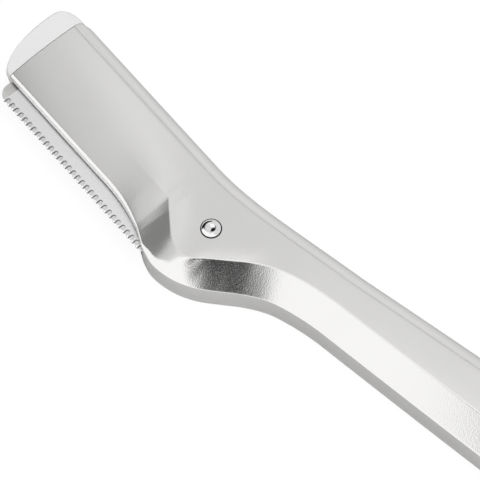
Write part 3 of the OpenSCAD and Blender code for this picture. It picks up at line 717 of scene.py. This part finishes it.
def carve(piece, cutters, operation="DIFFERENCE"):
    """Cuts cutters out of a piece, or joins or meets them with it, and deletes them."""
    for cutter in cutters:
        change = piece.modifiers.new("carve", "BOOLEAN")
        change.operation = operation
        change.solver = "EXACT"
        change.object = cutter
    apply_changes(piece)
    for cutter in cutters:
        bpy.data.objects.remove(cutter)


def finish_piece(piece, material, body, node, sharp=30.0):
    """Shades a piece, gives it its finish, lets it ride on its body and stand for its node."""
    piece.data.materials.clear()
    piece.data.materials.append(material)
    piece.data.shade_smooth()
    piece.data.set_sharp_from_angle(angle=radians(sharp))
    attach(piece, body)
    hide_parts(node)
    return {"FINISHED"}


def forms():
    """The razor's form and the sizes that it is made from."""
    scene = bpy.context.scene
    sizes = scene.razor_body, scene.razor_cover, scene.razor_cartridge
    return RazorForm(*sizes), *sizes


class NodeTree:
    """Short ways to add and link nodes. A value may be a number or another node's output."""

    def __init__(self, tree):
        self.tree = tree

    def put(self, node, values):
        """Sets or links some of a node's inputs."""
        for key, value in dict(values).items():
            if isinstance(value, bpy.types.NodeSocket):
                self.tree.links.new(value, node.inputs[key])
            else:
                node.inputs[key].default_value = value

    def add(self, kind, values=(), output=None, **settings):
        """A shader node's outputs, or one of them, with some of its settings and values."""
        node = self.tree.nodes.new("ShaderNode" + kind)
        for key, value in settings.items():
            setattr(node, key, value)
        self.put(node, values)
        return node.outputs if output is None else node.outputs[output]

    def math(self, operation, *values, **settings):
        """The result of a sum with one, two or three values."""
        return self.add("Math", enumerate(values), 0, operation=operation, **settings)

    def vector(self, operation, *values):
        """The result of a sum with vectors."""
        return self.add("VectorMath", enumerate(values), "Vector", operation=operation)

    def length_of(self, vector):
        """A vector's length."""
        return self.add("VectorMath", {0: vector}, "Value", operation="LENGTH")

    def here(self):
        """The place on the object itself."""
        return self.add("TexCoord", output="Object")

    def between(self, value, low, high, to_low=0.0, to_high=1.0, curve="LINEAR"):
        """A value from one range brought into another."""
        return self.add("MapRange", {"Value": value, "From Min": low, "From Max": high,
                                     "To Min": to_low, "To Max": to_high}, "Result",
                        interpolation_type=curve)

    def blend(self, share_of_second, first, second):
        """One shader turning into another."""
        return self.add("MixShader", {0: share_of_second, 1: first, 2: second}, 0)


def made_once(make):
    """Lets a function make the material or group of its own name only if there is none."""
    name = make.__name__

    @functools.wraps(make)
    def get():
        return bpy.data.materials.get(name) or bpy.data.node_groups.get(name) or make(name)

    return get


def node_group(name, inputs, outputs):
    """An empty shader group with named number inputs and outputs: its nodes, what its inputs
    give, and its end node."""
    tree = bpy.data.node_groups.new(name, "ShaderNodeTree")
    number = "NodeSocketFloat"
    for label, default in inputs.items():
        socket = tree.interface.new_socket(label, in_out="INPUT", socket_type=number)
        socket.default_value = default
    for label in outputs:
        tree.interface.new_socket(label, in_out="OUTPUT", socket_type=number)
    start, end = tree.nodes.new("NodeGroupInput"), tree.nodes.new("NodeGroupOutput")
    return NodeTree(tree), start.outputs, end


@made_once
def grain(name):
    """Fine random grain: a height for bumps and a tone that varies slowly and finely."""
    nodes, given, end = node_group(
        name, {"Grains per metre": 8000.0, "Drift per metre": 120.0}, ("Height", "Tone"))
    place = nodes.here()
    fine = nodes.add("TexVoronoi", {"Vector": place, "Scale": given["Grains per metre"]},
                     "Distance")
    slow = nodes.add("TexNoise", {"Vector": place, "Scale": given["Drift per metre"],
                                  "Detail": 2.0, "Roughness": 0.5}, "Fac")
    tone = nodes.add("Mix", {"Factor": 0.5, "A": fine, "B": slow}, "Result")
    nodes.put(end, {"Height": fine, "Tone": tone})
    return nodes.tree


@made_once
def head_place(name):
    """Where a point lies in the head: along it, across it and up from the back."""
    labels = ("Along", "Across", "Up")
    nodes, given, end = node_group(name, {"Head angle": 0.2}, labels)
    level = nodes.add("VectorRotate", {"Vector": nodes.here(), "Angle": given["Head angle"]},
                      "Vector", rotation_type="Z_AXIS")
    axes = nodes.add("SeparateXYZ", {0: nodes.vector("MULTIPLY", level, (-1.0, 1.0, 1.0))})
    nodes.put(end, dict(zip(labels, axes)))
    return nodes.tree


def place_in_head(nodes):
    """Where a point lies in the head, as separate values and as one vector."""
    body = bpy.context.scene.razor_body
    place = nodes.add("Group", {"Head angle": body.head_angle}, node_tree=head_place())
    return place, nodes.add("CombineXYZ", enumerate(place), 0)


def box_mask(nodes, place, low, high):
    """1 inside a box between two corners."""
    middle = [(a + b) / 2 for a, b in zip(low, high)]
    half = [(b - a) / 2 for a, b in zip(low, high)]
    folded = nodes.vector("ABSOLUTE", nodes.vector("SUBTRACT", place, middle))
    past = nodes.add("SeparateXYZ", {0: nodes.vector("SUBTRACT", folded, half)})
    deepest = nodes.math("MAXIMUM", nodes.math("MAXIMUM", past["X"], past["Y"]), past["Z"])
    return nodes.math("LESS_THAN", deepest, 0.0)


def tube_mask(nodes, place, radii, low, high):
    """1 from one radius about the rivet's axis to another, between two heights."""
    away = nodes.length_of(nodes.vector("MULTIPLY", place, (1.0, 1.0, 0.0)))
    up = nodes.add("SeparateXYZ", {0: place}, "Z")
    both = nodes.add("CombineXYZ", {"X": away, "Z": up}, 0)
    return box_mask(nodes, both, (radii[0], -1.0, low), (radii[1], 1.0, high))


def blend_finish(nodes, mask, base, rough):
    """Turns a finish to another colour and roughness where a mask is 1."""
    shader = nodes.tree.nodes["Principled BSDF"]
    for label, kind, value in (("Base Color", "RGBA", (*base, 1.0)),
                               ("Roughness", "FLOAT", rough)):
        source = shader.inputs[label].links[0].from_socket
        blended = nodes.add("Mix", {"Factor": mask, "A": source, "B": value}, "Result",
                            data_type=kind)
        nodes.put(shader, {label: blended})


def grained(name, base, rough, spread, grain_size, bump, metallic=1.0, tone_spread=0.04):
    """A finish with fine grain in its colour, roughness and bumps, and its nodes."""
    material = bpy.data.materials.new(name)
    material.use_nodes = True
    nodes = NodeTree(material.node_tree)
    texture = nodes.add("Group", {"Grains per metre": 1 / grain_size}, node_tree=grain())
    low = [value * (1 - tone_spread) for value in base]
    high = [min(1.0, value * (1 + tone_spread)) for value in base]
    tint = nodes.add("Mix", {"Factor": texture["Tone"], "A": (*low, 1.0), "B": (*high, 1.0)},
                     "Result", data_type="RGBA")
    roughness = nodes.between(texture["Tone"], *GRAIN_TONES, rough - spread, rough + spread)
    relief = nodes.add("Bump", {"Height": texture["Height"], "Strength": bump,
                                "Distance": grain_size / 10}, "Normal")
    nodes.put(nodes.tree.nodes["Principled BSDF"],
              {"Metallic": metallic, "Base Color": tint, "Roughness": roughness,
               "Normal": relief})
    return material, nodes


@made_once
def blasted_metal(name):
    """Bead-blasted, plated metal of the shell and the back cover, with painted shade, a
    near-black colour, inside the slot, under the sweep of its lip and round the rivet's seat."""
    form, body, cover, cartridge = forms()
    finish = bpy.context.scene.razor_finish
    material, nodes = grained(name, finish.satin, rough=finish.satin_rough, spread=0.03,
                              grain_size=finish.satin_grain, bump=0.15)
    place = place_in_head(nodes)[1]
    edge = body.lip_w * LIP_SHADE_SHARES[0]
    low_z = cover.thickness - cover.gap
    high_z = form.slot_top + body.lip_h * LIP_SHADE_SHARES[1]
    edge_w = -body.head_edge_w
    slot = box_mask(nodes, place, (cartridge.slot_end_s - edge, edge_w - edge, low_z),
                    (body.head_l + edge, cartridge.slot_spine_w + edge, high_z))
    sweep = box_mask(nodes, place, (body.ramp_foot_s - STATION_S / 3,
                                    edge_w - body.sweep_w - cover.rim_w, low_z),
                     (body.sweep_start_s, edge_w, high_z))
    seat = tube_mask(nodes, place, (0.0, cover.rivet_head_d / 2 + 2 * cover.fit_gap),
                     cover.thickness, body.height - cover.fit_gap / 2)
    # Painted shade: the slot, the sweep under the lip and the rivet's seat turn near-black where
    # they lie in shade
    painted_shade_mask = nodes.math("MAXIMUM", nodes.math("MAXIMUM", slot, sweep), seat)
    blend_finish(nodes, painted_shade_mask, finish.raw, 0.6)
    return material


@made_once
def rivet_polish(name):
    """Polished rivet, with painted shade, a dark colour, round the foot of its head."""
    _, body, cover, _ = forms()
    finish = bpy.context.scene.razor_finish
    material, nodes = grained(name, finish.polish, rough=0.06, spread=0.02,
                              grain_size=0.0004, bump=0.05)
    head_r = cover.rivet_head_d / 2
    # Painted shade: a dark ring round the foot of the rivet's head, where it sinks into its seat
    foot = tube_mask(nodes, place_in_head(nodes)[1], [head_r * k for k in RIVET_SHADE_SHARES],
                     body.height / 2, body.height * 2)
    blend_finish(nodes, foot, finish.raw, 0.4)
    return material


@made_once
def moulded_white(name):
    """Smooth moulded carrier."""
    return grained(name, bpy.context.scene.razor_finish.plastic, rough=0.3, spread=0.03,
                   grain_size=0.0002, bump=0.05, metallic=0.0, tone_spread=0.01)[0]


@made_once
def ground_blade(name):
    """Ground blade strip, bright on its ground edge."""
    _, body, _, cartridge = forms()
    finish = bpy.context.scene.razor_finish
    material, nodes = grained(name, finish.steel, rough=0.32, spread=0.04,
                              grain_size=0.0001, bump=0.2)
    edge_w = -cartridge.blade_edge_w
    ground = box_mask(nodes, place_in_head(nodes)[1], (0.0, edge_w - cartridge.blade_t, 0.0),
                      (body.head_l + cartridge.cap_l, edge_w + cartridge.ground_w,
                       body.height))
    blend_finish(nodes, ground, finish.ground, 0.25)
    return material


@made_once
def rolled_foil(name):
    """Matt rolled foil of the comb guard, with painted shade, a dark colour, on the rims of its
    slots where their cut walls lie in shade.
    """
    form, _, _, cartridge = forms()
    finish = bpy.context.scene.razor_finish
    material, nodes = grained(name, finish.foil, rough=0.38, spread=0.04,
                              grain_size=0.0001, bump=0.2)
    place = place_in_head(nodes)[0]
    half = cartridge.comb_w / 2
    half_pitch = cartridge.guard_pitch / 2
    round_w = cartridge.comb_depth - half - cartridge.blade_edge_w - cartridge.foil_t
    along = nodes.math("SUBTRACT", place["Along"], form.blade_s)
    from_land = nodes.math("PINGPONG", along, half_pitch)
    from_slot = nodes.math("SUBTRACT", half_pitch, from_land)
    past_round = nodes.math("SUBTRACT", place["Across"], round_w)
    beyond = nodes.math("MAXIMUM", past_round, 0.0)
    away = nodes.length_of(nodes.add("CombineXYZ", {"X": from_slot, "Y": beyond}, 0))
    # Painted shade round each slot's rim
    rim = nodes.between(away, half + cartridge.foil_t * RIM_SHADE_SHARE, half, curve="SMOOTHSTEP")
    blend_finish(nodes, rim, finish.etched, 0.5)
    return material


@made_once
def rolled_spring(name):
    """Bright rolled steel inside the handle."""
    return grained(name, bpy.context.scene.razor_finish.spring, rough=0.3, spread=0.05,
                   grain_size=0.0003, bump=0.1)[0]


class RAZOR_OT_stage(bpy.types.Operator):
    """Make the camera, the floor, the room light and the cards that the metal reflects"""

    bl_idname = "razor.stage"
    bl_label = "Stage"

    def execute(self, context):
        settings = context.scene.razor_stage
        context.scene.view_settings.view_transform = "Standard"
        make_camera(context.scene, settings)
        make_world(context.scene, settings)
        make_floor(settings)
        make_lamp(settings)
        make_cards(settings.ceiling)
        return {"FINISHED"}


def stand(name, data, place, way):
    """A camera or lamp that stands at a place and looks back along a way."""
    thing = bpy.data.objects.new(name, data)
    thing.location = place
    thing.rotation_mode = "QUATERNION"
    thing.rotation_quaternion = (-way).to_track_quat("-Z", "Y")
    bpy.context.scene.collection.objects.link(thing)
    return thing


def make_camera(scene, settings):
    """The camera at the photograph's viewing angle."""
    data = bpy.data.cameras.new("camera")
    data.lens = settings.lens
    data.sensor_width = 36.0
    data.clip_start = 0.01
    data.clip_end = 50.0
    turn, rise = settings.azimuth, settings.elevation
    way = Vector((sin(turn) * cos(rise), -cos(turn) * cos(rise), sin(rise)))
    scene.camera = stand("camera", data, Vector(settings.aim) + way * settings.distance, way)


def make_lamp(settings):
    """The soft key lamp, which metal doesn't mirror."""
    lamp = bpy.data.lights.new("key", "AREA")
    lamp.size = settings.ceiling
    lamp.energy = settings.key_power
    way = Vector(KEY_WAY).normalized()
    stand("key", lamp, way * settings.ceiling, way).visible_glossy = False


def seen_directly(nodes, reflected=1.0):
    """1 for what the camera or a transmitted ray sees, a share for what a reflection sees,
    and 0 for what only lights the razor."""
    path = nodes.add("LightPath")
    weaker = nodes.math("MULTIPLY", path["Is Glossy Ray"], reflected)
    two = nodes.math("ADD", path["Is Camera Ray"], weaker)
    return nodes.math("ADD", two, path["Is Transmission Ray"], use_clamp=True)


def make_world(scene, settings):
    """A white room, a little dimmer as a light on matt surfaces."""
    world = bpy.data.worlds.new("room")
    world.use_nodes = True
    nodes = NodeTree(world.node_tree)
    strength = nodes.between(seen_directly(nodes), 0.0, 1.0, settings.ambient)
    nodes.put(nodes.tree.nodes["Background"],
              {"Color": (1.0, 1.0, 1.0, 1.0), "Strength": strength})
    scene.world = world


def stage_surface(piece, name):
    """The nodes of a new empty material on a piece of the stage, and the material's end."""
    material = bpy.data.materials.new(name)
    material.use_nodes = True
    tree = material.node_tree
    tree.nodes.remove(tree.nodes["Principled BSDF"])
    piece.data.materials.append(material)
    return NodeTree(tree), tree.nodes["Material Output"]


def make_floor(settings):
    """A white floor that glows a little where it is seen, and keeps the razor's shadow. From
    below, and over the hairline gap under the razor, it is clear, so the back shows too."""
    half, below, in_reach = 1.5, 0.00005, 0.0004
    corners = ((-half, -half), (half, -half), (half, half), (-half, half))
    floor = new_piece("floor", [(x, y, -below) for x, y in corners], [(0, 1, 2, 3)])
    nodes, end = stage_surface(floor, "floor_white")
    matt = nodes.add("BsdfDiffuse", {"Color": (0.7, 0.7, 0.7, 1.0)}, 0)
    glow = nodes.add("Emission", {"Strength": 1.12}, 0)
    seen = nodes.math("MULTIPLY", seen_directly(nodes, 0.0), settings.floor_glow)
    in_gap = nodes.math("LESS_THAN", nodes.add("LightPath", output="Ray Length"), in_reach)
    from_below = nodes.add("NewGeometry", output="Backfacing")
    clear = nodes.math("MAXIMUM", from_below, in_gap)
    nodes.put(end, {"Surface": nodes.blend(clear, nodes.blend(seen, matt, glow),
                                           nodes.add("BsdfTransparent", output=0))})


def make_card(name, outline, matrix, tones, fade=None):
    """A flat card that only reflections see. Its rim may fade out between two radii, and its
    brightness runs through tones, which are pairs of a place along its own X and a value."""
    card = new_piece(name, [Vector(p).to_3d() for p in outline], [tuple(range(len(outline)))])
    card.matrix_world = matrix
    nodes, end = stage_surface(card, name)
    place = nodes.here()
    brightest = max(value for _, value in tones)
    light = {"Strength": brightest}
    if len(tones) > 1:
        first, last = tones[0][0], tones[-1][0]
        along = nodes.between(nodes.add("SeparateXYZ", {0: place}, "X"), first, last)
        light["Color"] = nodes.add("ValToRGB", {"Fac": along}, "Color")
        stops = light["Color"].node.color_ramp.elements
        while len(stops) < len(tones):
            stops.new(0.5)
        for stop, (x, value) in zip(list(stops), tones):
            stop.position = (x - first) / (last - first)
            stop.color = (*[value / brightest] * 3, 1.0)
    shown = nodes.add("Emission", light, 0)
    if fade:
        start, stop, curve = fade
        gone = nodes.between(nodes.length_of(place), start, stop, curve=curve)
        shown = nodes.blend(gone, shown, nodes.add("BsdfTransparent", output=0))
    nodes.put(end, {"Surface": shown})
    for kind in ("camera", "diffuse", "shadow", "transmission"):
        setattr(card, f"visible_{kind}", False)


def make_cards(h):
    """The bright, grey and dark cards that the metal reflects, under a ceiling's height."""

    def at(x, y, z, size=1.0, stretch=1.0, turn=0.0):
        return (Matrix.Translation((x * h, y * h, z * h))
                @ Matrix.Rotation(radians(turn), 4, "Z")
                @ Matrix.Diagonal((size * h, size * stretch * h, size * h, 1.0)))

    for name, (outline, size, turn, tones) in FLAT_CARDS.items():
        make_card(name, outline, at(0, 0, size, size, turn=turn), tones)
    wall = ((-FAR, 0, 0), (FAR, 0, 0), (FAR, 0, 1), (-FAR, 0, 1))
    for name, (y, tone) in WALL_CARDS.items():
        make_card(name, wall, at(0, y, 0), ((0.0, tone),))
    for name, (front, rear, tone) in FLOOR_CARDS.items():
        make_card(name, ((-FAR, front), (FAR, front), (FAR, rear), (-FAR, rear)),
                  at(0, 0, CARD_LIFT / h), ((0.0, tone),))
    for name, (size, (x, y), z, stretch, radius, tone, fade) in ROUND_CARDS.items():
        make_card(name, circle(radius), at(x * size, y * size, z, size, stretch),
                  ((0.0, tone),), fade)


class RAZOR_OT_front_shell(bpy.types.Operator):
    """Make the satin front shell with its pocket for the back cover and the cartridge slot"""

    bl_idname = "razor.front_shell"
    bl_label = "Front shell"

    def execute(self, context):
        form, body, cover, cartridge = forms()
        head, past = form.sections()
        shell = loft("front_shell_body", head + past)
        over = body.height / 2
        top = body.height + over
        tip_s = body.head_l + over
        far_w = -cartridge.blade_edge_w - over
        step_s = body.ramp_foot_s - body.edge_round
        floor_z = cover.thickness
        low_z = floor_z - cover.gap
        gap = cover.fit_gap
        half = cover.spring_w / 2 + gap
        pocket = form.rim_line(0.0, tip_s, step_s)
        pocket += [form.in_head(step_s, far_w), form.in_head(tip_s, far_w)]
        hollow = prism("hollow", form.hollow_outline(), low_z, floor_z + cover.hollow_h)
        pins = form.pin_places()
        carve(hollow, discs("boss", pins, cover.boss_d, 0.0, body.height))
        carve(shell, [
            prism("pocket", pocket, -over, floor_z),
            form.slab("slot", (cartridge.slot_end_s, tip_s), (far_w, cartridge.slot_spine_w),
                      (low_z, form.slot_top)),
            form.slab("spring_seat", (-cover.spring_w, cartridge.slot_end_s + over),
                      (-half, half), (low_z, floor_z + cover.spring_t + gap)),
            *discs("bore", [RIVET], cover.rivet_shank_d, 0.0, top, gap),
            *discs("seat", [RIVET], cover.rivet_head_d,
                   body.height - cover.rivet_head_h * HEAD_SINK_SHARE, top, gap * SEAT_GAP_SHARE),
            hollow,
            *discs("pin_hole", pins, cover.pin_d, 0.0, floor_z + cover.hollow_h * PIN_SHARE)])
        return finish_piece(shell, blasted_metal(), "handle", "front_shell")


class RAZOR_OT_back_cover(bpy.types.Operator):
    """Make the flat satin back cover with its rib, its pin holes and the rivet's seat"""

    bl_idname = "razor.back_cover"
    bl_label = "Back cover"

    def execute(self, context):
        form, body, cover, cartridge = forms()
        top = cover.thickness
        step_s = body.ramp_foot_s - body.edge_round + cover.gap
        edge = [mix(step_s, body.sweep_start_s, k) for k in shares(form.tip_steps)]
        outline = form.rim_line(cover.gap, body.head_l, step_s)
        outline += [form.in_head(s, form.edge_at(s)) for s in [*edge, body.head_l]]
        plate = prism("back_cover_plate", outline, 0.0, top)
        broken = plate.modifiers.new("broken_edge", "BEVEL")
        broken.width = cover.edge_cut
        broken.segments = 2
        broken.limit_method = "ANGLE"
        broken.angle_limit = radians(60)
        apply_changes(plate)
        rib = form.slab("rib", (cover.rib_start_s, body.head_l - cover.rib_w),
                        (cover.rib_spine_w - cover.rib_w, cover.rib_spine_w),
                        (top / 2, top + cartridge.slot_h / 3))
        carve(plate, [rib], "UNION")
        over = body.height / 2
        sleeve_d = cover.rivet_shank_d + 2 * cover.rivet_sleeve_wall
        carve(plate, [
            *discs("pin_hole", form.pin_places(), cover.pin_d, top / 2, over),
            *discs("sleeve_hole", [RIVET], sleeve_d, -over, over, cover.fit_gap),
            *discs("flange_seat", [RIVET], cover.rivet_flange_d, -over, cover.rivet_flange_t,
                   cover.fit_gap)])
        return finish_piece(plate, blasted_metal(), "handle", "back_cover",
                            sharp=15.0)


class RAZOR_OT_rivet(bpy.types.Operator):
    """Make the polished neck rivet: a dimpled post and the cap that holds it"""

    bl_idname = "razor.rivet"
    bl_label = "Neck rivet"

    def execute(self, context):
        _, body, cover, _ = forms()
        head_r = cover.rivet_head_d / 2
        shank_r = cover.rivet_shank_d / 2
        core_r = shank_r * CORE_SHARE
        seat_z = body.height - cover.rivet_head_h * HEAD_SINK_SHARE
        foot_z = cover.rivet_flange_t / 2
        rim_h = cover.rivet_head_h / 4
        dome_h = cover.rivet_head_h - rim_h
        dimple_r = head_r * DIMPLE_SHARES[0]
        dimple_h = dome_h * DIMPLE_SHARES[1]
        profile = [(core_r, foot_z), (shank_r, foot_z), (shank_r, seat_z), (head_r, seat_z)]
        for k in shares(24):
            r = head_r * mix(1, CORE_SHARE, k)
            out = r / head_r
            risen = rim_h * sqrt(max(0.0, 1 - out ** 6)) + dome_h * (1 - out ** 2)
            dip = dimple_h * smooth(1 - r / dimple_r)
            profile.append((r, body.height + risen - dip))
        finish_piece(turned("rivet_post_turned", profile), rivet_polish(), "handle",
                     "rivet_post")
        sleeve_r = shank_r + cover.rivet_sleeve_wall
        flange_r = cover.rivet_flange_d / 2
        flange_z = cover.rivet_flange_t
        cut = cover.edge_cut
        cap = turned("rivet_cap_turned", [
            (core_r, 0.0), (flange_r - cut, 0.0), (flange_r, cut), (flange_r, flange_z),
            (sleeve_r, flange_z), (sleeve_r, cover.thickness), (shank_r, cover.thickness),
            (shank_r, foot_z), (core_r, foot_z)])
        return finish_piece(cap, rivet_polish(), "handle", "rivet_cap")


def cap_outline(body, cartridge, inset, steps=48):
    """The end cap's outline in the head at an inset, as places along and across it."""
    made = []
    low_w = body.head_edge_w + body.edge_round
    for k in shares(steps):
        turn = pi * (k - 1 / 2)
        if turn < 0:
            power, reach = CAP_POWERS[0], cartridge.cap_peak_w + low_w
        else:
            power, reach = CAP_POWERS[1], body.head_spine_w - cartridge.cap_peak_w
        grown = max(0.0, cos(turn)) ** (2 / power)
        side = copysign(abs(sin(turn)) ** (2 / power), turn)
        made.append((body.head_l + 2 * cartridge.run_gap + (cartridge.cap_l - inset) * grown,
                     cartridge.cap_peak_w + side * (reach - inset)))
    return made


def end_cap(form, body, cartridge):
    """The carrier's round end cap, which carries on the head's own section."""
    rows = []
    limit = radians(60)
    for k in shares(20):
        turn = mix(-limit, limit, k)
        z = body.height / 2 * (1 + sin(turn) / sin(limit))
        inset = cartridge.cap_edge_r * (1 - cos(turn))
        rows.append([at_z(form.in_head(s, w), z)
                     for s, w in cap_outline(body, cartridge, inset)])
    cap = loft("end_cap", rows)
    start = body.head_l + cartridge.run_gap - form.corner_s
    profile = [[at_z(p.xy + form.in_head(s, 0), p.z) for p in form.head_section(form.corner_s)]
               for s in (start, start + cartridge.cap_l * 2)]
    carve(cap, [loft("profile", profile)], "INTERSECT")
    return cap


class RAZOR_OT_carrier(bpy.types.Operator):
    """Make the white carrier: its tongue, guide, studs and round end cap"""

    bl_idname = "razor.carrier"
    bl_label = "Blade carrier"

    def execute(self, context):
        form, body, cover, cartridge = forms()
        gap = cartridge.run_gap
        low = cover.thickness + gap
        high = form.slot_top - gap
        along = (form.blade_s + gap, body.head_l + 2 * gap + cartridge.foil_t)
        wall_w = cartridge.slot_spine_w - gap
        guide_w = cartridge.slot_spine_w - cover.rib_spine_w - 3 * gap
        tongue = form.slab("carrier_tongue", along, (form.tongue_w, wall_w),
                           (low, form.blade_z))
        foil_top = form.blade_z + cartridge.blade_t + cartridge.foil_gap + cartridge.foil_t
        studs = form.stud_places()
        carve(tongue, [
            form.slab("guide", along, (wall_w - guide_w, wall_w), (low, high)),
            end_cap(form, body, cartridge),
            *discs("stud", studs, cartridge.stud_d, low, high, steps=32),
            *discs("stud_head", studs, cartridge.stud_d * 3 / 2, foil_top, high, steps=32)],
            "UNION")
        half = cover.spring_w / 2 + gap
        hump_s = cover.spring_l * HUMP_PLACE_SHARE
        hump_half = cover.hump_l / 2 + gap
        spring_z = cover.thickness + cover.spring_t + gap
        slot_s = cartridge.slot_end_s
        carve(tongue, [
            form.slab("rib_way", (slot_s, body.head_l - cover.rib_w + gap),
                      (cover.rib_spine_w - cover.rib_w - gap, cover.rib_spine_w + gap),
                      (0.0, cover.thickness + cartridge.slot_h / 3 + gap)),
            form.slab("spring_way", (slot_s, cover.spring_l + gap), (-half, half),
                      (0.0, spring_z)),
            form.slab("hump_way", (hump_s - hump_half, hump_s + hump_half), (-half, half),
                      (0.0, spring_z + cover.hump_h))])
        return finish_piece(tongue, moulded_white(), "cartridge",
                            "blade_carrier")


class RAZOR_OT_blade(bpy.types.Operator):
    """Make the thin steel blade with its ground edge and its round corner"""

    bl_idname = "razor.blade"
    bl_label = "Blade"

    def execute(self, context):
        form, body, _, cartridge = forms()
        low = form.blade_z
        thick = cartridge.blade_t
        edge_w = -cartridge.blade_edge_w
        ground_w = edge_w + cartridge.ground_w
        back_w = edge_w + cartridge.blade_w
        tip_s = body.head_l + cartridge.run_gap
        profile = [(edge_w, low + thick * EDGE_SHARES[0]), (ground_w, low), (back_w, low),
                   (back_w, low + thick), (ground_w, low + thick),
                   (edge_w, low + thick * EDGE_SHARES[1])]
        strip = form.extrusion("blade_strip", profile, (form.blade_s, tip_s))
        r = cartridge.blade_corner_r
        over = body.height
        plan = [(form.blade_s - over, edge_w - thick), (tip_s - r, edge_w - thick),
                (tip_s - r, edge_w)]
        plan += [(tip_s - r + r * sin(pi / 2 * k),
                  edge_w + r - r * cos(pi / 2 * k)) for k in shares(24)[1:]]
        plan += [(tip_s, back_w + over), (form.blade_s - over, back_w + over)]
        keep = prism("blade_plan", [form.in_head(*place) for place in plan], low - over,
                     low + over)
        carve(strip, [keep], "INTERSECT")
        carve(strip, form.stud_holes())
        return finish_piece(strip, ground_blade(), "cartridge", "blade")


class RAZOR_OT_guard(bpy.types.Operator):
    """Make the comb guard: a foil folded over the cutting edge, with a row of slots"""

    bl_idname = "razor.guard"
    bl_label = "Comb guard"

    def execute(self, context):
        form, body, _, cartridge = forms()
        foil = cartridge.foil_t
        low = form.blade_z - cartridge.foil_gap - foil
        high = form.blade_z + cartridge.blade_t + cartridge.foil_gap + foil
        fold_r = (high - low) / 2
        edge_w = -cartridge.blade_edge_w - foil
        low_reach = form.tongue_w - 2 * foil
        top_w = edge_w + cartridge.guard_top_w
        turns = [pi * k for k in shares(16)]
        outer, inner = ([(edge_w + fold_r - r * sin(turn),
                          low + fold_r - side * r * cos(turn)) for turn in turns]
                        for r, side in ((fold_r, 1), (fold_r - foil, -1)))
        profile = [(low_reach, low), *outer, (top_w, high), (top_w, high - foil), *inner,
                   (low_reach, low + foil)]
        end_s = form.blade_s + cartridge.slot_count * cartridge.guard_pitch
        guard = form.extrusion("comb_guard_foil", profile, (form.blade_s, end_s))
        half = cartridge.comb_w / 2
        straight_w = edge_w + cartridge.comb_depth - half
        far_w = edge_w - body.height
        slots = []
        for k in range(cartridge.slot_count):
            s = form.blade_s + cartridge.guard_pitch * (k + 1 / 2)
            outline = [(s - half, far_w)]
            outline += [(s - half * cos(pi * t),
                         straight_w + half * sin(pi * t)) for t in shares(20)]
            outline += [(s + half, far_w)]
            slots.append(prism("comb_slot", [form.in_head(*place) for place in outline], 0.0,
                               body.height))
        carve(guard, [joined("comb_slots", slots + form.stud_holes())])
        return finish_piece(guard, rolled_foil(), "cartridge", "blade_guard")


class RAZOR_OT_inner_parts(bpy.types.Operator):
    """Give the spring and the locating pins inside the handle their finish"""

    bl_idname = "razor.inner_parts"
    bl_label = "Inner parts"

    def execute(self, context):
        for name in ("detent_spring", "locating_pins"):
            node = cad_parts[name]
            for place in node.material_slots:
                place.material = rolled_spring()
        return {"FINISHED"}


STEPS = ("stage", "front_shell", "back_cover", "rivet", "carrier", "blade", "guard",
         "inner_parts")


class RAZOR_PT_panel(bpy.types.Panel):
    """The razor's steps and sizes"""

    bl_idname = "RAZOR_PT_panel"
    bl_label = "Eyebrow razor"
    bl_space_type = "VIEW_3D"
    bl_region_type = "UI"
    bl_category = "Razor"

    def draw(self, context):
        for step in STEPS:
            self.layout.operator(f"razor.{step}")


CLASSES = (BodySizes, CoverSizes, CartridgeSizes, Finish, StageSettings, RAZOR_OT_stage,
           RAZOR_OT_front_shell, RAZOR_OT_back_cover, RAZOR_OT_rivet, RAZOR_OT_carrier,
           RAZOR_OT_blade, RAZOR_OT_guard, RAZOR_OT_inner_parts, RAZOR_PT_panel)
SETTINGS = {"razor_body": BodySizes, "razor_cover": CoverSizes,
            "razor_cartridge": CartridgeSizes, "razor_finish": Finish,
            "razor_stage": StageSettings}


def register():
    for item in CLASSES:
        bpy.utils.register_class(item)
    for name, group in SETTINGS.items():
        setattr(bpy.types.Scene, name, PointerProperty(type=group))


def unregister():
    for name in SETTINGS:
        delattr(bpy.types.Scene, name)
    for item in reversed(CLASSES):
        bpy.utils.unregister_class(item)


def main():
    """Builds the whole scene."""
    register()
    for step in STEPS:
        getattr(bpy.ops.razor, step)()


if __name__ == "__main__":
    main()
